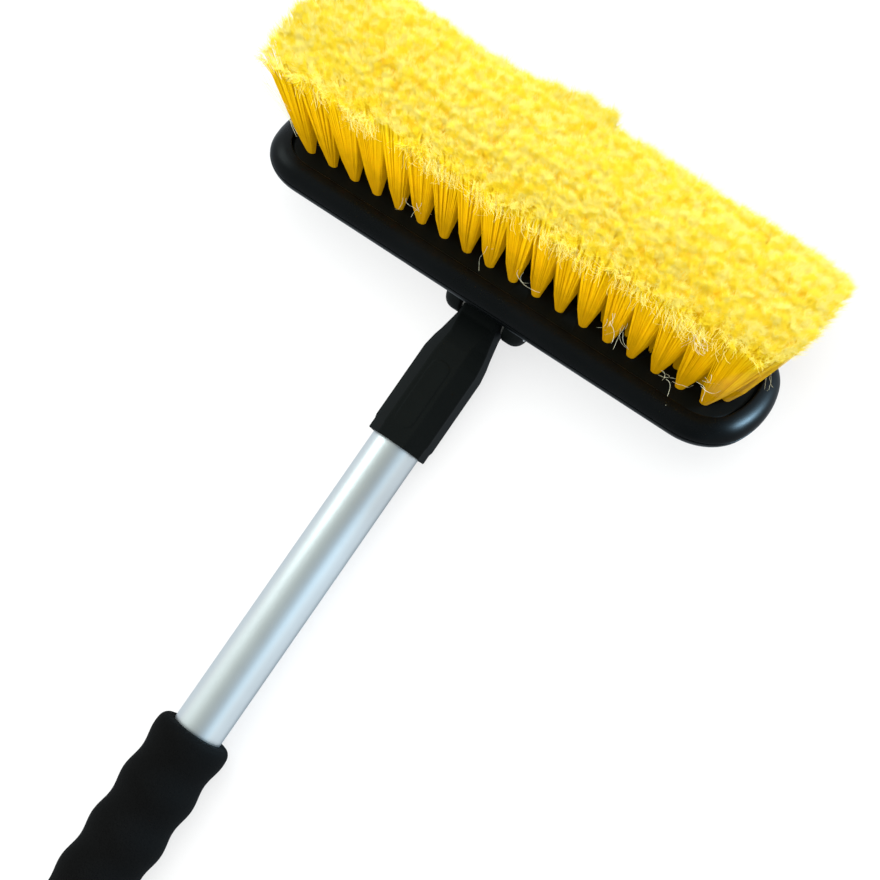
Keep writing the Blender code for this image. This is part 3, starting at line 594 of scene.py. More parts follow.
# %% Neck sections
NECK_HALF = 0.0130
NECK_CORNER = 0.0070
COLLAR_HALF = 0.0126
COLLAR_LENGTH = 0.0050
BARREL_LENGTH = 0.0410
SHOULDER_LENGTH = 0.0058
SHOULDER_HALF = 0.0122
TAPER_LENGTH = 0.0135
TONGUE_HALF_WIDTH = 0.0092
TONGUE_HALF_DEPTH = 0.0080
TONGUE_CORNER = 0.0015
EDGE_ROUND = 0.0014
NECK_STEP = 0.0004
NECK_SOFTEN = 0.0007
PANEL_HALF_WIDTH = 0.0046
PANEL_LENGTH = 0.0320
PANEL_HEIGHT = 0.0004
PANEL_CORNER = 0.0040
PANEL_EDGE = 0.0006
PANEL_POINTS = 44
PANEL_FROM_COLLAR = 0.0018
BEND_SAMPLES = 9

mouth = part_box("neck_socket")[0].y - pivot.y
collar_end = mouth + COLLAR_LENGTH
barrel_end = mouth + BARREL_LENGTH
shoulder_end = barrel_end + SHOULDER_LENGTH
taper_end = shoulder_end + TAPER_LENGTH
panel_middle = collar_end + PANEL_FROM_COLLAR + PANEL_LENGTH / 2
knots = (collar_end, collar_end + SEAT_GAP, barrel_end, shoulder_end, taper_end)
print("neck", round(-mouth * MM, 1), "mm from its mouth to the pivot")


def along_neck(station, values):
    """A size at a station, following straight lines between the knots with softened bends."""
    offsets = np.linspace(-NECK_SOFTEN, NECK_SOFTEN, BEND_SAMPLES)
    return float(np.mean(np.interp(station + offsets, knots, values)))


def neck_section(station):
    """One ring of the neck: eight rounded corners, and extra points where the panel crosses it."""
    half_x = along_neck(station, (COLLAR_HALF, NECK_HALF, NECK_HALF, SHOULDER_HALF, TONGUE_HALF_WIDTH))
    half_z = along_neck(station, (COLLAR_HALF, NECK_HALF, NECK_HALF, SHOULDER_HALF, TONGUE_HALF_DEPTH))
    corner = along_neck(station, (NECK_CORNER, NECK_CORNER, NECK_CORNER, NECK_CORNER, TONGUE_CORNER))
    if station > 0:
        half_z = math.sqrt(max(TONGUE_HALF_DEPTH ** 2 - station ** 2, EDGE_ROUND ** 2))
    corner = min(corner, half_z / 2)
    flat_x, flat_z = half_x - corner, half_z - corner
    outline = [(half_x, -flat_z), (half_x, flat_z), (flat_x, half_z), (-flat_x, half_z)]
    outline += [(-x, -z) for x, z in outline]
    points = rounded(outline, min(EDGE_ROUND, corner / 2))
    start = 3 * (ROUND_STEPS + 1) - 1
    left, right = points[start + 1], points[start]
    width = left[0] - right[0]
    between = [(right[0] + width * i / PANEL_POINTS, half_z) for i in range(1, PANEL_POINTS)]
    points = points[:start + 1] + between + points[start + 1:]
    return [(x, station, z + panel_rise(x, station, z, half_z)) for x, z in points]


def panel_rise(x, station, z, half_z):
    """How far the panel stands up here: a rounded rectangle with a soft edge."""
    if z < half_z - EDGE_ROUND / 10:
        return 0.0
    reach_x = max(abs(x) - PANEL_HALF_WIDTH + PANEL_CORNER, 0.0)
    reach_y = max(abs(station - panel_middle) - PANEL_LENGTH / 2 + PANEL_CORNER, 0.0)
    share = min(max((PANEL_CORNER - math.hypot(reach_x, reach_y)) / PANEL_EDGE, 0.0), 1.0)
    return PANEL_HEIGHT * share * share * (3 - 2 * share)


# %% Neck socket
NOSE_STEPS = 12
MOUTH_SHRINK = 0.985
BORE_GAP = 0.00015
BORE_SIDES = 48
DRILL_SIDES = 32
NECK_BORE_DEPTH = 0.0445
SCREW_STATION = 0.0250
SCREW_RADIUS = 0.0016
BOLT_RADIUS = 0.0025
BOLT_HOLE = BOLT_RADIUS + SEAT_GAP
ACROSS = HINGE @ turned(90, "Y")


def bore(piece, low, high, radius, sides, place):
    """Cut a straight hole out of a piece, between two stations on the local z axis."""
    combine(piece, lathe("bore", [(low, radius), (high, radius)], sides, place), "DIFFERENCE")


def make_neck():
    count = round(-mouth / NECK_STEP)
    stations = [mouth * (1 - i / count) for i in range(count + 1)]
    quarter = [math.pi / 2 * k / NOSE_STEPS for k in range(1, NOSE_STEPS + 1)]
    stations += [TONGUE_HALF_DEPTH * math.sin(a) for a in quarter]
    rings = [neck_section(station) for station in stations]
    middle = np.mean(rings[0], axis=0)
    mouth_ring = [middle + (np.array(point) - middle) * MOUTH_SHRINK for point in rings[1]]
    rings[0] = [(x, mouth, z) for x, _, z in mouth_ring]
    neck = skin("neck_socket_moulded", rings, place=NECK)
    fit = tube_radius + BORE_GAP
    bore(neck, mouth - TUBE_WALL, mouth + NECK_BORE_DEPTH, fit, TUBE_SIDES, NECK @ ALONG)
    bore(neck, -NECK_HALF, NECK_HALF, BOLT_HOLE, BORE_SIDES, ACROSS)
    return neck


def drill_for_screw(piece):
    down = NECK @ Matrix.Translation((0, mouth + SCREW_STATION, 0))
    hole = SCREW_RADIUS + SEAT_GAP
    bore(piece, -NECK_HALF - TUBE_WALL, -tube_radius / 2, hole, DRILL_SIDES, down)


neck_socket = make_neck()
drill_for_screw(neck_socket)
drill_for_screw(inner_tube)
dress(neck_socket, "shaft", plastic, "black_plastic", "neck_socket")
dress(inner_tube, "shaft", aluminium, "anodised_aluminium", "inner_tube")

# %% [markdown]
# ## The head
# Seen from above the head is a long box with round corners and slightly bowed ends. Every ring of it,
# on the block and on the bumper, is that same outline moved inwards, so one function draws it.

# %% Head outline
HEAD_LENGTH = 0.2370
HEAD_WIDTH = 0.0694
HEAD_SHIFT = (0.0006, -0.0007)
HEAD_CORNER = 0.0245
HEAD_END = 0.0590
END_STEPS = 8
CORNER_STEPS = 16
SIDE_STEPS = 24


def head_outline(inset):
    """The plan outline moved inwards, with extra points along the sides for even shading."""
    bow_x = HEAD_LENGTH / 2 - HEAD_END
    rise = HEAD_WIDTH / 2 - HEAD_CORNER
    corner_x = bow_x + math.sqrt((HEAD_END - HEAD_CORNER) ** 2 - rise ** 2)
    meet = math.atan2(rise, corner_x - bow_x)
    quarter = []
    for k in range(END_STEPS):
        a = meet * (k + 0.5) / END_STEPS
        quarter.append((bow_x + (HEAD_END - inset) * math.cos(a), (HEAD_END - inset) * math.sin(a)))
    for k in range(CORNER_STEPS + 1):
        a = meet + (math.pi / 2 - meet) * k / CORNER_STEPS
        reach = HEAD_CORNER - inset
        quarter.append((corner_x + reach * math.cos(a), rise + reach * math.sin(a)))
    side = [(corner_x * (1 - 2 * k / SIDE_STEPS), HEAD_WIDTH / 2 - inset) for k in range(1, SIDE_STEPS)]
    half = quarter + side + [(-x, y) for x, y in reversed(quarter)]
    loop = half + [(-x, -y) for x, y in half]
    return [(x + HEAD_SHIFT[0], y + HEAD_SHIFT[1]) for x, y in loop]


def head_ring(inset, height):
    return [(x, y, height) for x, y in head_outline(inset)]


print("outline points", len(head_outline(0.0)))

# %% [markdown]
# The bumper is an endless rubber section stretched round the block. It is swept: a round back, and a
# rib that sits in the block's groove. The two halves of its mould meet on the outside, and the seam
# shows in the photo as a thin dark line close to its lower edge.

# %% Bumper
BUMPER_RADIUS = 0.0070
BUMPER_STRETCH = 1.40
BUMPER_WIDTH = 0.0082
CREST_ROUND = 0.0004
GROOVE_DEPTH = 0.0025
GROOVE_HALF = 0.0014
SEAM_ANGLE = math.radians(-4)
SEAM_WIDTH = math.radians(3.2)
SEAM_DEPTH = 0.00045
SEAM_SHARPNESS = 1.6
SEAM_SHARES = (-1.5, -1.0, -0.5, 0.0, 0.5, 1.0, 1.5)
BUMPER_STEPS = 44
CREST_STEPS = 6


def make_bumper():
    """Round the outside with its seam, then back over the inner wall with its rib."""
    wall = BUMPER_WIDTH / BUMPER_STRETCH
    inner = BUMPER_RADIUS - CREST_ROUND
    span = math.acos((BUMPER_RADIUS - wall + CREST_ROUND) / inner)
    angles = list(np.linspace(span, -span, BUMPER_STEPS))
    angles += [SEAM_ANGLE + SEAM_WIDTH * share for share in SEAM_SHARES]
    profile = []
    for a in sorted(angles, reverse=True):
        from_seam = (a - SEAM_ANGLE) / SEAM_WIDTH * SEAM_SHARPNESS
        radius = BUMPER_RADIUS - SEAM_DEPTH * math.exp(-from_seam ** 2)
        profile.append(((BUMPER_RADIUS - radius * math.cos(a)) * BUMPER_STRETCH, radius * math.sin(a)))
    crest = []
    for k in range(1, CREST_STEPS + 1):
        a = span + (math.pi - span) * k / CREST_STEPS
        inset = (wall - CREST_ROUND * (1 + math.cos(a))) * BUMPER_STRETCH
        crest.append((inset, inner * math.sin(span) + CREST_ROUND * math.sin(a)))
    rib = BUMPER_WIDTH + GROOVE_DEPTH
    half = GROOVE_HALF - SEAT_GAP
    profile += [(x, -z) for x, z in crest]
    profile += [(BUMPER_WIDTH, -half), (rib, -half), (rib, half), (BUMPER_WIDTH, half)]
    profile += crest[::-1]
    return skin("bumper_ring", [head_ring(*point) for point in profile], True, HEAD)


dress(make_bumper(), "head", rubber, "black_rubber", "bumper")

# %% [markdown]
# The block is moulded in one with its two hinge ears. Its section goes from the flat face round a
# small edge, in and out of the groove, and over a crowned back that sheds water. The ears are flat
# slices with a rounded rim, fused on afterwards, and then the bolt bore and the tuft holes are cut.

# %% Block body
FACE_HEIGHT = 0.0050
FACE_ROUND = 0.0013
BACK_EDGE = 0.0058
BACK_ROUND = 0.0018
BACK_RUN = 0.0040
BACK_CROWN = 0.0020
CROWN_INSET = 0.0160
CROWN_STEPS = 6
EDGE_INSET = BUMPER_WIDTH + 2 * SEAT_GAP


def block_profile():
    """From the flat face round its edge, in and out of the groove, and up the crowned back."""
    edge, groove, crown = EDGE_INSET, EDGE_INSET + GROOVE_DEPTH, EDGE_INSET + BACK_RUN
    corners = [(edge + CROWN_INSET, FACE_HEIGHT), (edge, FACE_HEIGHT), (edge, GROOVE_HALF)]
    corners += [(groove, GROOVE_HALF), (groove, -GROOVE_HALF), (edge, -GROOVE_HALF)]
    corners += [(edge, -BACK_EDGE), (crown, -BACK_EDGE)]
    profile = rounded(corners, [0, FACE_ROUND, 0, 0, 0, 0, BACK_ROUND, 0], closed=False)
    for k in range(1, CROWN_STEPS + 1):
        share = k / CROWN_STEPS
        rise = BACK_CROWN * math.sin(math.pi / 2 * share)
        profile.append((crown + (CROWN_INSET - BACK_RUN) * share, -BACK_EDGE - rise))
    return profile


brush_block = skin("brush_block_moulded", [head_ring(*point) for point in block_profile()], place=HEAD)
print("block profile", len(block_profile()), "points")

# %% Hinge ears
EAR_GAP = 0.0210
EAR_THICKNESS = 0.0090
EAR_RADIUS = 0.0085
EAR_BASE = 0.0115
EAR_ROUND = 0.0050
EAR_INNER_ROUND = 0.0009
EAR_INNER_STEPS = 3
EAR_STEPS = 14
RIM_STEPS = 7
FUSE_DEPTH = 0.0010


def make_ear(side):
    """One ear from its inner face outwards, in the hinge's axes, shrinking over its rounded rim."""
    root = -pivot_in_head.z - BACK_EDGE + FUSE_DEPTH
    quarter = [math.pi / 2 * k / EAR_STEPS for k in range(EAR_STEPS + 1)]
    flank = [(EAR_RADIUS + (EAR_BASE - EAR_RADIUS) * (1 - math.cos(a)), root * math.sin(a)) for a in quarter]
    turn_below = [-math.pi * k / (2 * EAR_STEPS) for k in range(1, 2 * EAR_STEPS)]
    nose = [(EAR_RADIUS * math.cos(a), EAR_RADIUS * math.sin(a)) for a in turn_below]
    profile = flank[::-1] + nose + [(-y, z) for y, z in flank]
    inner, outer = EAR_GAP / 2, EAR_GAP / 2 + EAR_THICKNESS
    sections = []
    for k in range(EAR_INNER_STEPS + 1):
        a = math.pi / 2 * k / EAR_INNER_STEPS
        kept = 1 - EAR_INNER_ROUND / EAR_RADIUS * (1 - math.sin(a))
        sections.append((inner + EAR_INNER_ROUND * (1 - math.cos(a)), kept))
    for k in range(RIM_STEPS + 1):
        a = math.pi / 2 * k / RIM_STEPS
        kept = 1 - EAR_ROUND / EAR_RADIUS * (1 - math.cos(a))
        sections.append((outer - EAR_ROUND * (1 - math.sin(a)), kept))
    rings = [[(side * x, y * kept, z * kept if z < 0 else z) for y, z in profile] for x, kept in sections]
    return skin("ear", rings, place=HINGE)


for side in (-1, 1):
    combine(brush_block, make_ear(side), "UNION")
print("block with ears", len(brush_block.data.polygons), "faces")

# %% [markdown]
# The hinge turns on a bolt across both ears, with a nut sunk in a six-sided pocket and a nylon washer
# on each side of the tongue. All of it is turned about the hinge's axis, and a nut or a key socket is
# only a turning with six sides.

# %% Hinge hardware
BOLT_HEAD_RADIUS = 0.0043
BOLT_HEAD_HEIGHT = 0.0030
KEY_RADIUS = 0.0017
KEY_DEPTH = 0.0018
NUT_RADIUS = 0.0046
NUT_HEIGHT = 0.0040
NUT_SIDES = 6
WASHER_RADIUS = 0.0065
WASHER_THICKNESS = 0.0007
WASHER_SIDES = 64
HARDWARE_ROUND = 0.0004
SIX_SIDED = ACROSS @ turned(30, "Z")

ear_outer = EAR_GAP / 2 + EAR_THICKNESS
cut_end = ear_outer + FUSE_DEPTH
bolt_end = ear_outer - SEAT_GAP
bolt_seat = ear_outer - BOLT_HEAD_HEIGHT
nut_end = NUT_HEIGHT - ear_outer

recess = BOLT_HEAD_RADIUS + SEAT_GAP
through = [(-cut_end, BOLT_HOLE), (bolt_seat - SEAT_GAP, BOLT_HOLE)]
through += [(bolt_seat - SEAT_GAP, recess), (cut_end, recess)]
combine(brush_block, lathe("bore", through, BORE_SIDES, ACROSS), "DIFFERENCE")
bore(brush_block, -cut_end, nut_end + SEAT_GAP, NUT_RADIUS + SEAT_GAP, NUT_SIDES, SIX_SIDED)

shank = [(-bolt_end, BOLT_RADIUS), (bolt_seat, BOLT_RADIUS), (bolt_seat, BOLT_HEAD_RADIUS)]
shank += [(bolt_end, BOLT_HEAD_RADIUS), (bolt_end, BOLT_HEAD_RADIUS / 2)]
shank = rounded(shank, [0, 0, 0, HARDWARE_ROUND, 0], closed=False)
pivot_bolt = lathe("pivot_bolt_zinc", shank, BORE_SIDES, ACROSS)
bore(pivot_bolt, bolt_end - KEY_DEPTH, cut_end, KEY_RADIUS, NUT_SIDES, SIX_SIDED)
dress(pivot_bolt, "head", zinc, "zinc_steel", "pivot_bolt")

nut_wall = [(-ear_outer, NUT_RADIUS - HARDWARE_ROUND), (-ear_outer + HARDWARE_ROUND / 2, NUT_RADIUS)]
nut_wall += [(nut_end, NUT_RADIUS)]
pivot_nut = lathe("pivot_nut_zinc", nut_wall, NUT_SIDES, SIX_SIDED)
bore(pivot_nut, -cut_end, nut_end + FUSE_DEPTH, BOLT_HOLE, BORE_SIDES, ACROSS)
dress(pivot_nut, "head", zinc, "zinc_steel", "pivot_nut")

for side, name in ((-1, "washer_left"), (1, "washer_right")):
    start = side * (TONGUE_HALF_WIDTH + SEAT_GAP)
    end = start + side * WASHER_THICKNESS
    wall = [(start, BOLT_HOLE), (start, WASHER_RADIUS), (end, WASHER_RADIUS), (end, BOLT_HOLE)]
    washer = lathe(name + "_nylon", wall, WASHER_SIDES, ACROSS, hollow=True)
    dress(washer, "head", nylon, "grey_nylon", name)

# %% [markdown]
# A single screw on the underside holds the neck on its tube. It is a pan head with a cross recess: a
# turned dome, less two crossed wedges.

# %% Neck screw
SCREW_HEAD_RADIUS = 0.0034
SCREW_HEAD_HEIGHT = 0.0020
SCREW_LENGTH = 0.0050
SCREW_SIDES = 40
DOME_STEPS = 9
DOME_POWER = 0.6
CROSS_LENGTH = 0.0019
CROSS_WIDTH = 0.00045
CROSS_DEPTH = 0.0010


def make_neck_screw():
    under = NECK @ Matrix.Translation((0, mouth + SCREW_STATION, -NECK_HALF - SEAT_GAP))
    profile = [(SCREW_LENGTH, SCREW_RADIUS), (0.0, SCREW_RADIUS), (0.0, SCREW_HEAD_RADIUS)]
    for k in range(1, DOME_STEPS):
        a = math.pi / 2 * k / DOME_STEPS
        profile.append((-SCREW_HEAD_HEIGHT * math.sin(a), SCREW_HEAD_RADIUS * math.cos(a) ** DOME_POWER))
    profile.append((-SCREW_HEAD_HEIGHT, SCREW_HEAD_RADIUS / 5))
    screw = lathe("neck_screw_zinc", profile, SCREW_SIDES, under)
    wide = [(CROSS_LENGTH * x, CROSS_WIDTH * y) for x, y in ((1, 1), (-1, 1), (-1, -1), (1, -1))]
    low, high = -SCREW_HEAD_HEIGHT - CROSS_DEPTH, -SCREW_HEAD_HEIGHT + CROSS_DEPTH
    rings = [[(x, y, low) for x, y in wide], [(x / 2, y / 2, high) for x, y in wide]]
    for quarter in (0, 90):
        combine(screw, skin("cross", rings, place=under @ turned(quarter, "Z")), "DIFFERENCE")
    return screw


dress(make_neck_screw(), "shaft", zinc, "zinc_steel", "neck_screw")

# %% [markdown]
# ## The bristles
# Ninety-two tufts stand in five staggered rows. Each is a bundle folded into a drilled hole, so it
# leaves the block as a narrow rounded finger, widens at once and meets its neighbours. The field
# leans out to the sides and the ends. At the top the fibres are flagged: every end is split into
# finer hairs, and these cling together in small uneven locks. That gives the brush its soft face.
#
# A rule like this is what Geometry Nodes are for. A line of points gives the tufts, each is
# duplicated into its fibres, and random numbers with fixed seeds place every fibre's root and tip.
# A three-sided strand is put on each, made real, and bent to its own curve point by point. The same
# tree runs twice: for whole fibres, and for the split ends, which share the curves of their fibres.

# %% Bristle sizes
ROWS = 5
SHORT_ROW = 18
TUFT_PITCH = 0.0114
ROW_PITCH = 0.0085
ROOT_RADIUS = 0.00165
ROOT_SINK = 0.0006
BRISTLE_LENGTH = 0.0562
FIELD_LEFT = 0.1215
FIELD_RIGHT = 0.1205
FIELD_HALF_WIDTH = 0.0352
FIBRES = 420
FIBRE_RADIUS = 0.00022
SPLITS = 6
SPLIT_START = 0.91
SPLIT_JOIN = 0.02
SPLIT_RADIUS = 0.00011
SPLAY = 0.0027
LOCK_WIDTH = 0.0040
HOLE_RADIUS = 0.0021
HOLE_DEPTH = 0.0030
HOLE_SIDES = 12

side_half_span = ROWS / 2 * ROW_PITCH


def tufts_in(row):
    return SHORT_ROW + row % 2


def row_offset(row):
    return (row - (ROWS - 1) / 2) * ROW_PITCH


def row_half_span(row):
    """From the middle of a row to the far edge of its last tuft's cell."""
    return tufts_in(row) / 2 * TUFT_PITCH


print("tufts", sum(tufts_in(row) for row in range(ROWS)))


# %% Drill the tuft holes
def tuft_drill():
    """All the holes as one mesh of short pegs."""
    points, faces = [], []
    for row in range(ROWS):
        for i in range(tufts_in(row)):
            x, y = (i - (tufts_in(row) - 1) / 2) * TUFT_PITCH, row_offset(row)
            faces += ring_faces(len(points), HOLE_SIDES, 2)
            for z in (FACE_HEIGHT - HOLE_DEPTH, FACE_HEIGHT + HOLE_DEPTH):
                points += [(x + u, y + v, z) for u, v in circle(HOLE_RADIUS, HOLE_SIDES)]
    return solid("drill", points, faces, HEAD)


combine(brush_block, tuft_drill(), "DIFFERENCE")
dress(brush_block, "head", plastic, "black_plastic", "brush_block")


# %% [markdown]
# A geometry tree works on points that carry named values. `Growth` is a graph with named inputs and a
# few words for that: `given` reads an input, `chance` draws a number, `keep` writes a value on every
# point and `kept` reads it back. `cells` are the irregular cells that will gather tips in locks. Each
# random draw has its own seed, so the same script always grows the same brush.

# %% Words for a geometry tree
DRAWS = {"across": 1, "over": 2, "ragged": 6, "stray": 7, "stray_x": 8, "stray_y": 9,
         "own_tint": 10, "tuft_tint": 11, "splay_x": 12, "splay_y": 13, "splay_z": 14}


class Growth(Graph):
    def __init__(self, name, inputs):
        super().__init__(bpy.data.node_groups.new(name, "GeometryNodeTree"))
        for title, kind in inputs.items():
            self.tree.interface.new_socket(title, in_out="INPUT", socket_type="NodeSocket" + kind)
        self.tree.interface.new_socket("Geometry", in_out="OUTPUT", socket_type="NodeSocketGeometry")
        self.given = self.add("NodeGroupInput").also
        print(name, "takes", len(inputs), "inputs")

    def chance(self, draw, low=-1.0, high=1.0, number=None):
        """A random float for each point, or for each value of number. Each draw has its own seed."""
        sockets = {2: low, 3: high, "Seed": self.given("Seed") + DRAWS[draw]}
        if number is not None:
            sockets["ID"] = number
        return self.add("FunctionNodeRandomValue", {"data_type": "FLOAT"}, sockets, 1)

    def vector(self, x, y, z):
        return self.add("ShaderNodeCombineXYZ", {}, {0: x, 1: y, 2: z})

    def parts(self, wire):
        return self.add("ShaderNodeSeparateXYZ", {}, {0: wire})

    def keep(self, geometry, name, kind, value):
        settings = {"data_type": kind, "domain": "POINT"}
        sockets = {"Geometry": geometry, "Name": name, "Value": value}
        return self.add("GeometryNodeStoreNamedAttribute", settings, sockets)

    def kept(self, name, kind):
        return self.add("GeometryNodeInputNamedAttribute", {"data_type": kind}, {"Name": name})

    def copies(self, points, amount):
        sockets = {0: points, "Amount": amount}
        return self.add("GeometryNodeDuplicateElements", {"domain": "POINT"}, sockets)

    def cells(self, place, width):
        settings = {"voronoi_dimensions": "2D", "feature": "F1"}
        return self.add("ShaderNodeTexVoronoi", settings, {"Vector": place, "Scale": 1 / width})


# %% [markdown]
# A used brush isn't even, so the field's outline has forms of its own: its far right corner is cut
# back, its left end stands taller, and a lock bulges over the far edge. Each form is one size that
# sets in over a span of the field. Spans along and across are shares from -1 to 1, apart from the
# bulge's, which lie along the head in metres.

# %% Outline of the field
RIGHT_HALF = (-0.3, 0.3)
LEFT_SKEW = 0.0020
RIGHT_SKEW = 0.0004
CORNER_POWER = 4
LEFT_CORNER = (0.0022, 0.0022)
RIGHT_CORNER = (-0.0050, 0.0030)
CORNER_SHARE = (-0.020, -0.080)
CUT_ALONG = (0.88, 1.04)
CUT_ACROSS = (0.65, 1.10)
CORNER_CUT = 0.0026
FIELD_TILT = 0.0030
WANDER_SCALE = 34.0
EDGE_WANDER = 0.0060
BULGE_STARTS = (-0.040, -0.006)
BULGE_STOPS = (0.001, 0.009)
BULGE_ACROSS = (0.2, 1.0)
FAR_BULGE = (0.0100, 0.0032)
RISE_ALONG = (-0.95, -0.45)
RISE_ACROSS = (-0.8, 0.3)
LEFT_RISE = 0.0080


def field_form(graph, reach_x, end_share, side_share):
    """How far a fibre leans along and across the head to the field's outline, and how high it ends."""
    given = graph.given
    corner = side_share ** CORNER_POWER
    left_end = given("Field Left") + side_share * LEFT_SKEW
    left_end = left_end + corner * (side_share * LEFT_CORNER[1] + LEFT_CORNER[0])
    right_end = given("Field Right") + side_share * RIGHT_SKEW
    right_end = right_end + corner * (side_share * RIGHT_CORNER[1] + RIGHT_CORNER[0])
    right_half = end_share.steps(*RIGHT_HALF)
    end_flare = left_end + (right_end - left_end) * right_half - given("Row Half Span")
    rounding = side_share * CORNER_SHARE[1] + CORNER_SHARE[0]
    rounding = end_share ** CORNER_POWER * right_half * rounding
    side_flare = given("Field Half Width") * (1 - rounding) - given("Side Half Span")
    cut = end_share.steps(*CUT_ALONG) * side_share.steps(*CUT_ACROSS) * CORNER_CUT
    lean_x = end_share * abs(end_share) * end_flare - cut
    lean_y = side_share * side_flare + side_share * side_share * FIELD_TILT - cut
    wander = {"W": reach_x, "Scale": WANDER_SCALE}
    wander = graph.add("ShaderNodeTexNoise", {"noise_dimensions": "1D"}, wander) - 0.5
    lean_y = lean_y + corner * wander * EDGE_WANDER
    bulge = reach_x.steps(*BULGE_STARTS) * (1 - reach_x.steps(*BULGE_STOPS))
    bulge = bulge * side_share.steps(*BULGE_ACROSS)
    lean_y = lean_y + bulge * FAR_BULGE[0]
    length = given("Length")
    height = (length * length - lean_x * lean_x - lean_y * lean_y).root()
    height = height + (1 - end_share.steps(*RISE_ALONG)) * side_share.steps(*RISE_ACROSS) * LEFT_RISE
    return lean_x, lean_y, height + bulge * FAR_BULGE[1]


# %% [markdown]
# Positions across a tuft are two shares from -1 to 1. The square of shares is squeezed into a disc at
# the root and opened a little past the tuft's cell at the tip, so the tips fill the field. Irregular
# cells then pull the tips together in locks, each lock with its own level, so that no grid shows from
# above. A few fibres stray, and the outermost ones droop over their tips.
#
# Nothing is bent yet: each point only keeps the vectors that its fibre will be bent by, a tint that
# is mostly its own and a little its tuft's, and how high its place in its lock counts.

# %% Paths of the fibres
CELL_OVERLAP = 1.25
EDGE_POWER = 8
LOCK_PULL = 0.34
LOCK_RISE = 0.0015
LOCK_DOME = 0.0020
CLUMP_WIDTH = 0.0100
CLUMP_RISE = 0.0012
SWELL_SCALE = 26.0
SWELL_RISE = 0.0050
EDGE_DROP = 0.0016
RAGGED = 0.0002
STRAY_SHARE = 0.006
STRAY_REACH = 0.0030
DRAPE = 0.0055
DRAPE_OUTWARDS = 0.3
LEVEL_LEAST = 0.5
LEVEL_SPREAD = 0.4
LEVEL_FALL = 0.8
OWN_TINT = 0.9
TUFT_TINT = 0.1
EDGE_TINT = 0.25


def shape_fibres(graph, points):
    given, chance, vector, parts = graph.given, graph.chance, graph.vector, graph.parts
    centre = parts(graph.add("GeometryNodeInputPosition"))
    across, over = chance("across"), chance("over")
    root_x = across * (1 - over * over * 0.5).root() * given("Root Radius")
    root_y = over * (1 - across * across * 0.5).root() * given("Root Radius")
    spread_x = across * given("Pitch") * (CELL_OVERLAP / 2)
    spread_y = over * given("Row Pitch") * (CELL_OVERLAP / 2)
    reach_x, reach_y = centre.also("X") + spread_x, centre.also("Y") + spread_y
    end_share = reach_x / given("Row Half Span")
    side_share = reach_y / given("Side Half Span")
    edge = end_share ** EDGE_POWER + side_share ** EDGE_POWER
    lean_x, lean_y, height = field_form(graph, reach_x, end_share, side_share)

    tip = vector(reach_x + lean_x, reach_y + lean_y, 0.0)
    locks, clumps = graph.cells(tip, given("Lock Width")), graph.cells(tip, CLUMP_WIDTH)
    lock_shade, clump_shade = parts(locks.also("Color")), parts(clumps.also("Color"))
    lock_level = (lock_shade - 0.5) * LOCK_RISE - locks * locks * LOCK_DOME
    swell = graph.add("ShaderNodeTexNoise", {}, {"Vector": tip, "Scale": SWELL_SCALE, "Detail": 1.0})
    height = height + (swell - 0.5) * SWELL_RISE + lock_level + (clump_shade - 0.5) * CLUMP_RISE
    height = height + chance("ragged") * RAGGED - edge * EDGE_DROP
    stray = chance("stray", 0.0).steps(1 - STRAY_SHARE, 1 - STRAY_SHARE / 2) * STRAY_REACH + RAGGED
    drape = side_share ** EDGE_POWER * clump_shade * DRAPE
    ways = {
        "root": vector(centre.also("X") + root_x, centre.also("Y") + root_y, given("Root Height")),
        "fan": vector(spread_x - root_x, spread_y - root_y, 0.0),
        "pull": (locks.also("Position") - tip) * LOCK_PULL,
        "lean": vector(lean_x + chance("stray_x") * stray, lean_y + chance("stray_y") * stray, height),
        "drape": vector(0.0, side_share * DRAPE_OUTWARDS, -1.0) * drape}
    for name, way in ways.items():
        points = graph.keep(points, name, "FLOAT_VECTOR", way)

    # level says how high a tip stands in its lock; the bristle finish paints shade on the low ones.
    level = LEVEL_LEAST + lock_shade * LEVEL_SPREAD - locks * locks * LEVEL_FALL
    tint = chance("own_tint", 0.0, OWN_TINT)
    tint = tint + chance("tuft_tint", 0.0, TUFT_TINT, graph.kept("tuft", "FLOAT"))
    points = graph.keep(points, "tint", "FLOAT", tint + edge * EDGE_TINT)
    return graph.keep(points, "level", "FLOAT", level + edge * EDGE_TINT)


# %% [markdown]
# Each fibre is a straight strand first, of length one and radius one. Once it is real, each of its
# points moves to the root plus its share of every kept vector. A vector that counts by a high power
# of the way along only shows near the tip; one that counts by a low power acts from the root on.

# %% Strands
STRAND_SIDES = 3
SPLAY_DOWN = (-0.9, -0.1)
FAN_POWER = 0.62
PULL_POWER = 8
DRAPE_POWER = 6


def straight_strand(graph):
    given = graph.given
    strand = graph.add("GeometryNodeMeshCone", {"fill_type": "NGON"}, {
        "Vertices": STRAND_SIDES, "Side Segments": given("Segments"), "Radius Top": given("Tip Share"),
        "Radius Bottom": 1.0, "Depth": 1.0})
    local = graph.parts(graph.add("GeometryNodeInputPosition"))
    smooth = {"interpolation_type": "SMOOTHERSTEP"}
    share = graph.add("ShaderNodeMapRange", smooth, {"Value": local.also("Z")})
    along = given("Start") + share * (given("Stop") - given("Start"))
    strand = graph.keep(strand, "own_share", "FLOAT", share)
    strand = graph.keep(strand, "along", "FLOAT", along)
    return graph.keep(strand, "girth", "FLOAT_VECTOR", graph.vector(local, local.also("Y"), 0.0))


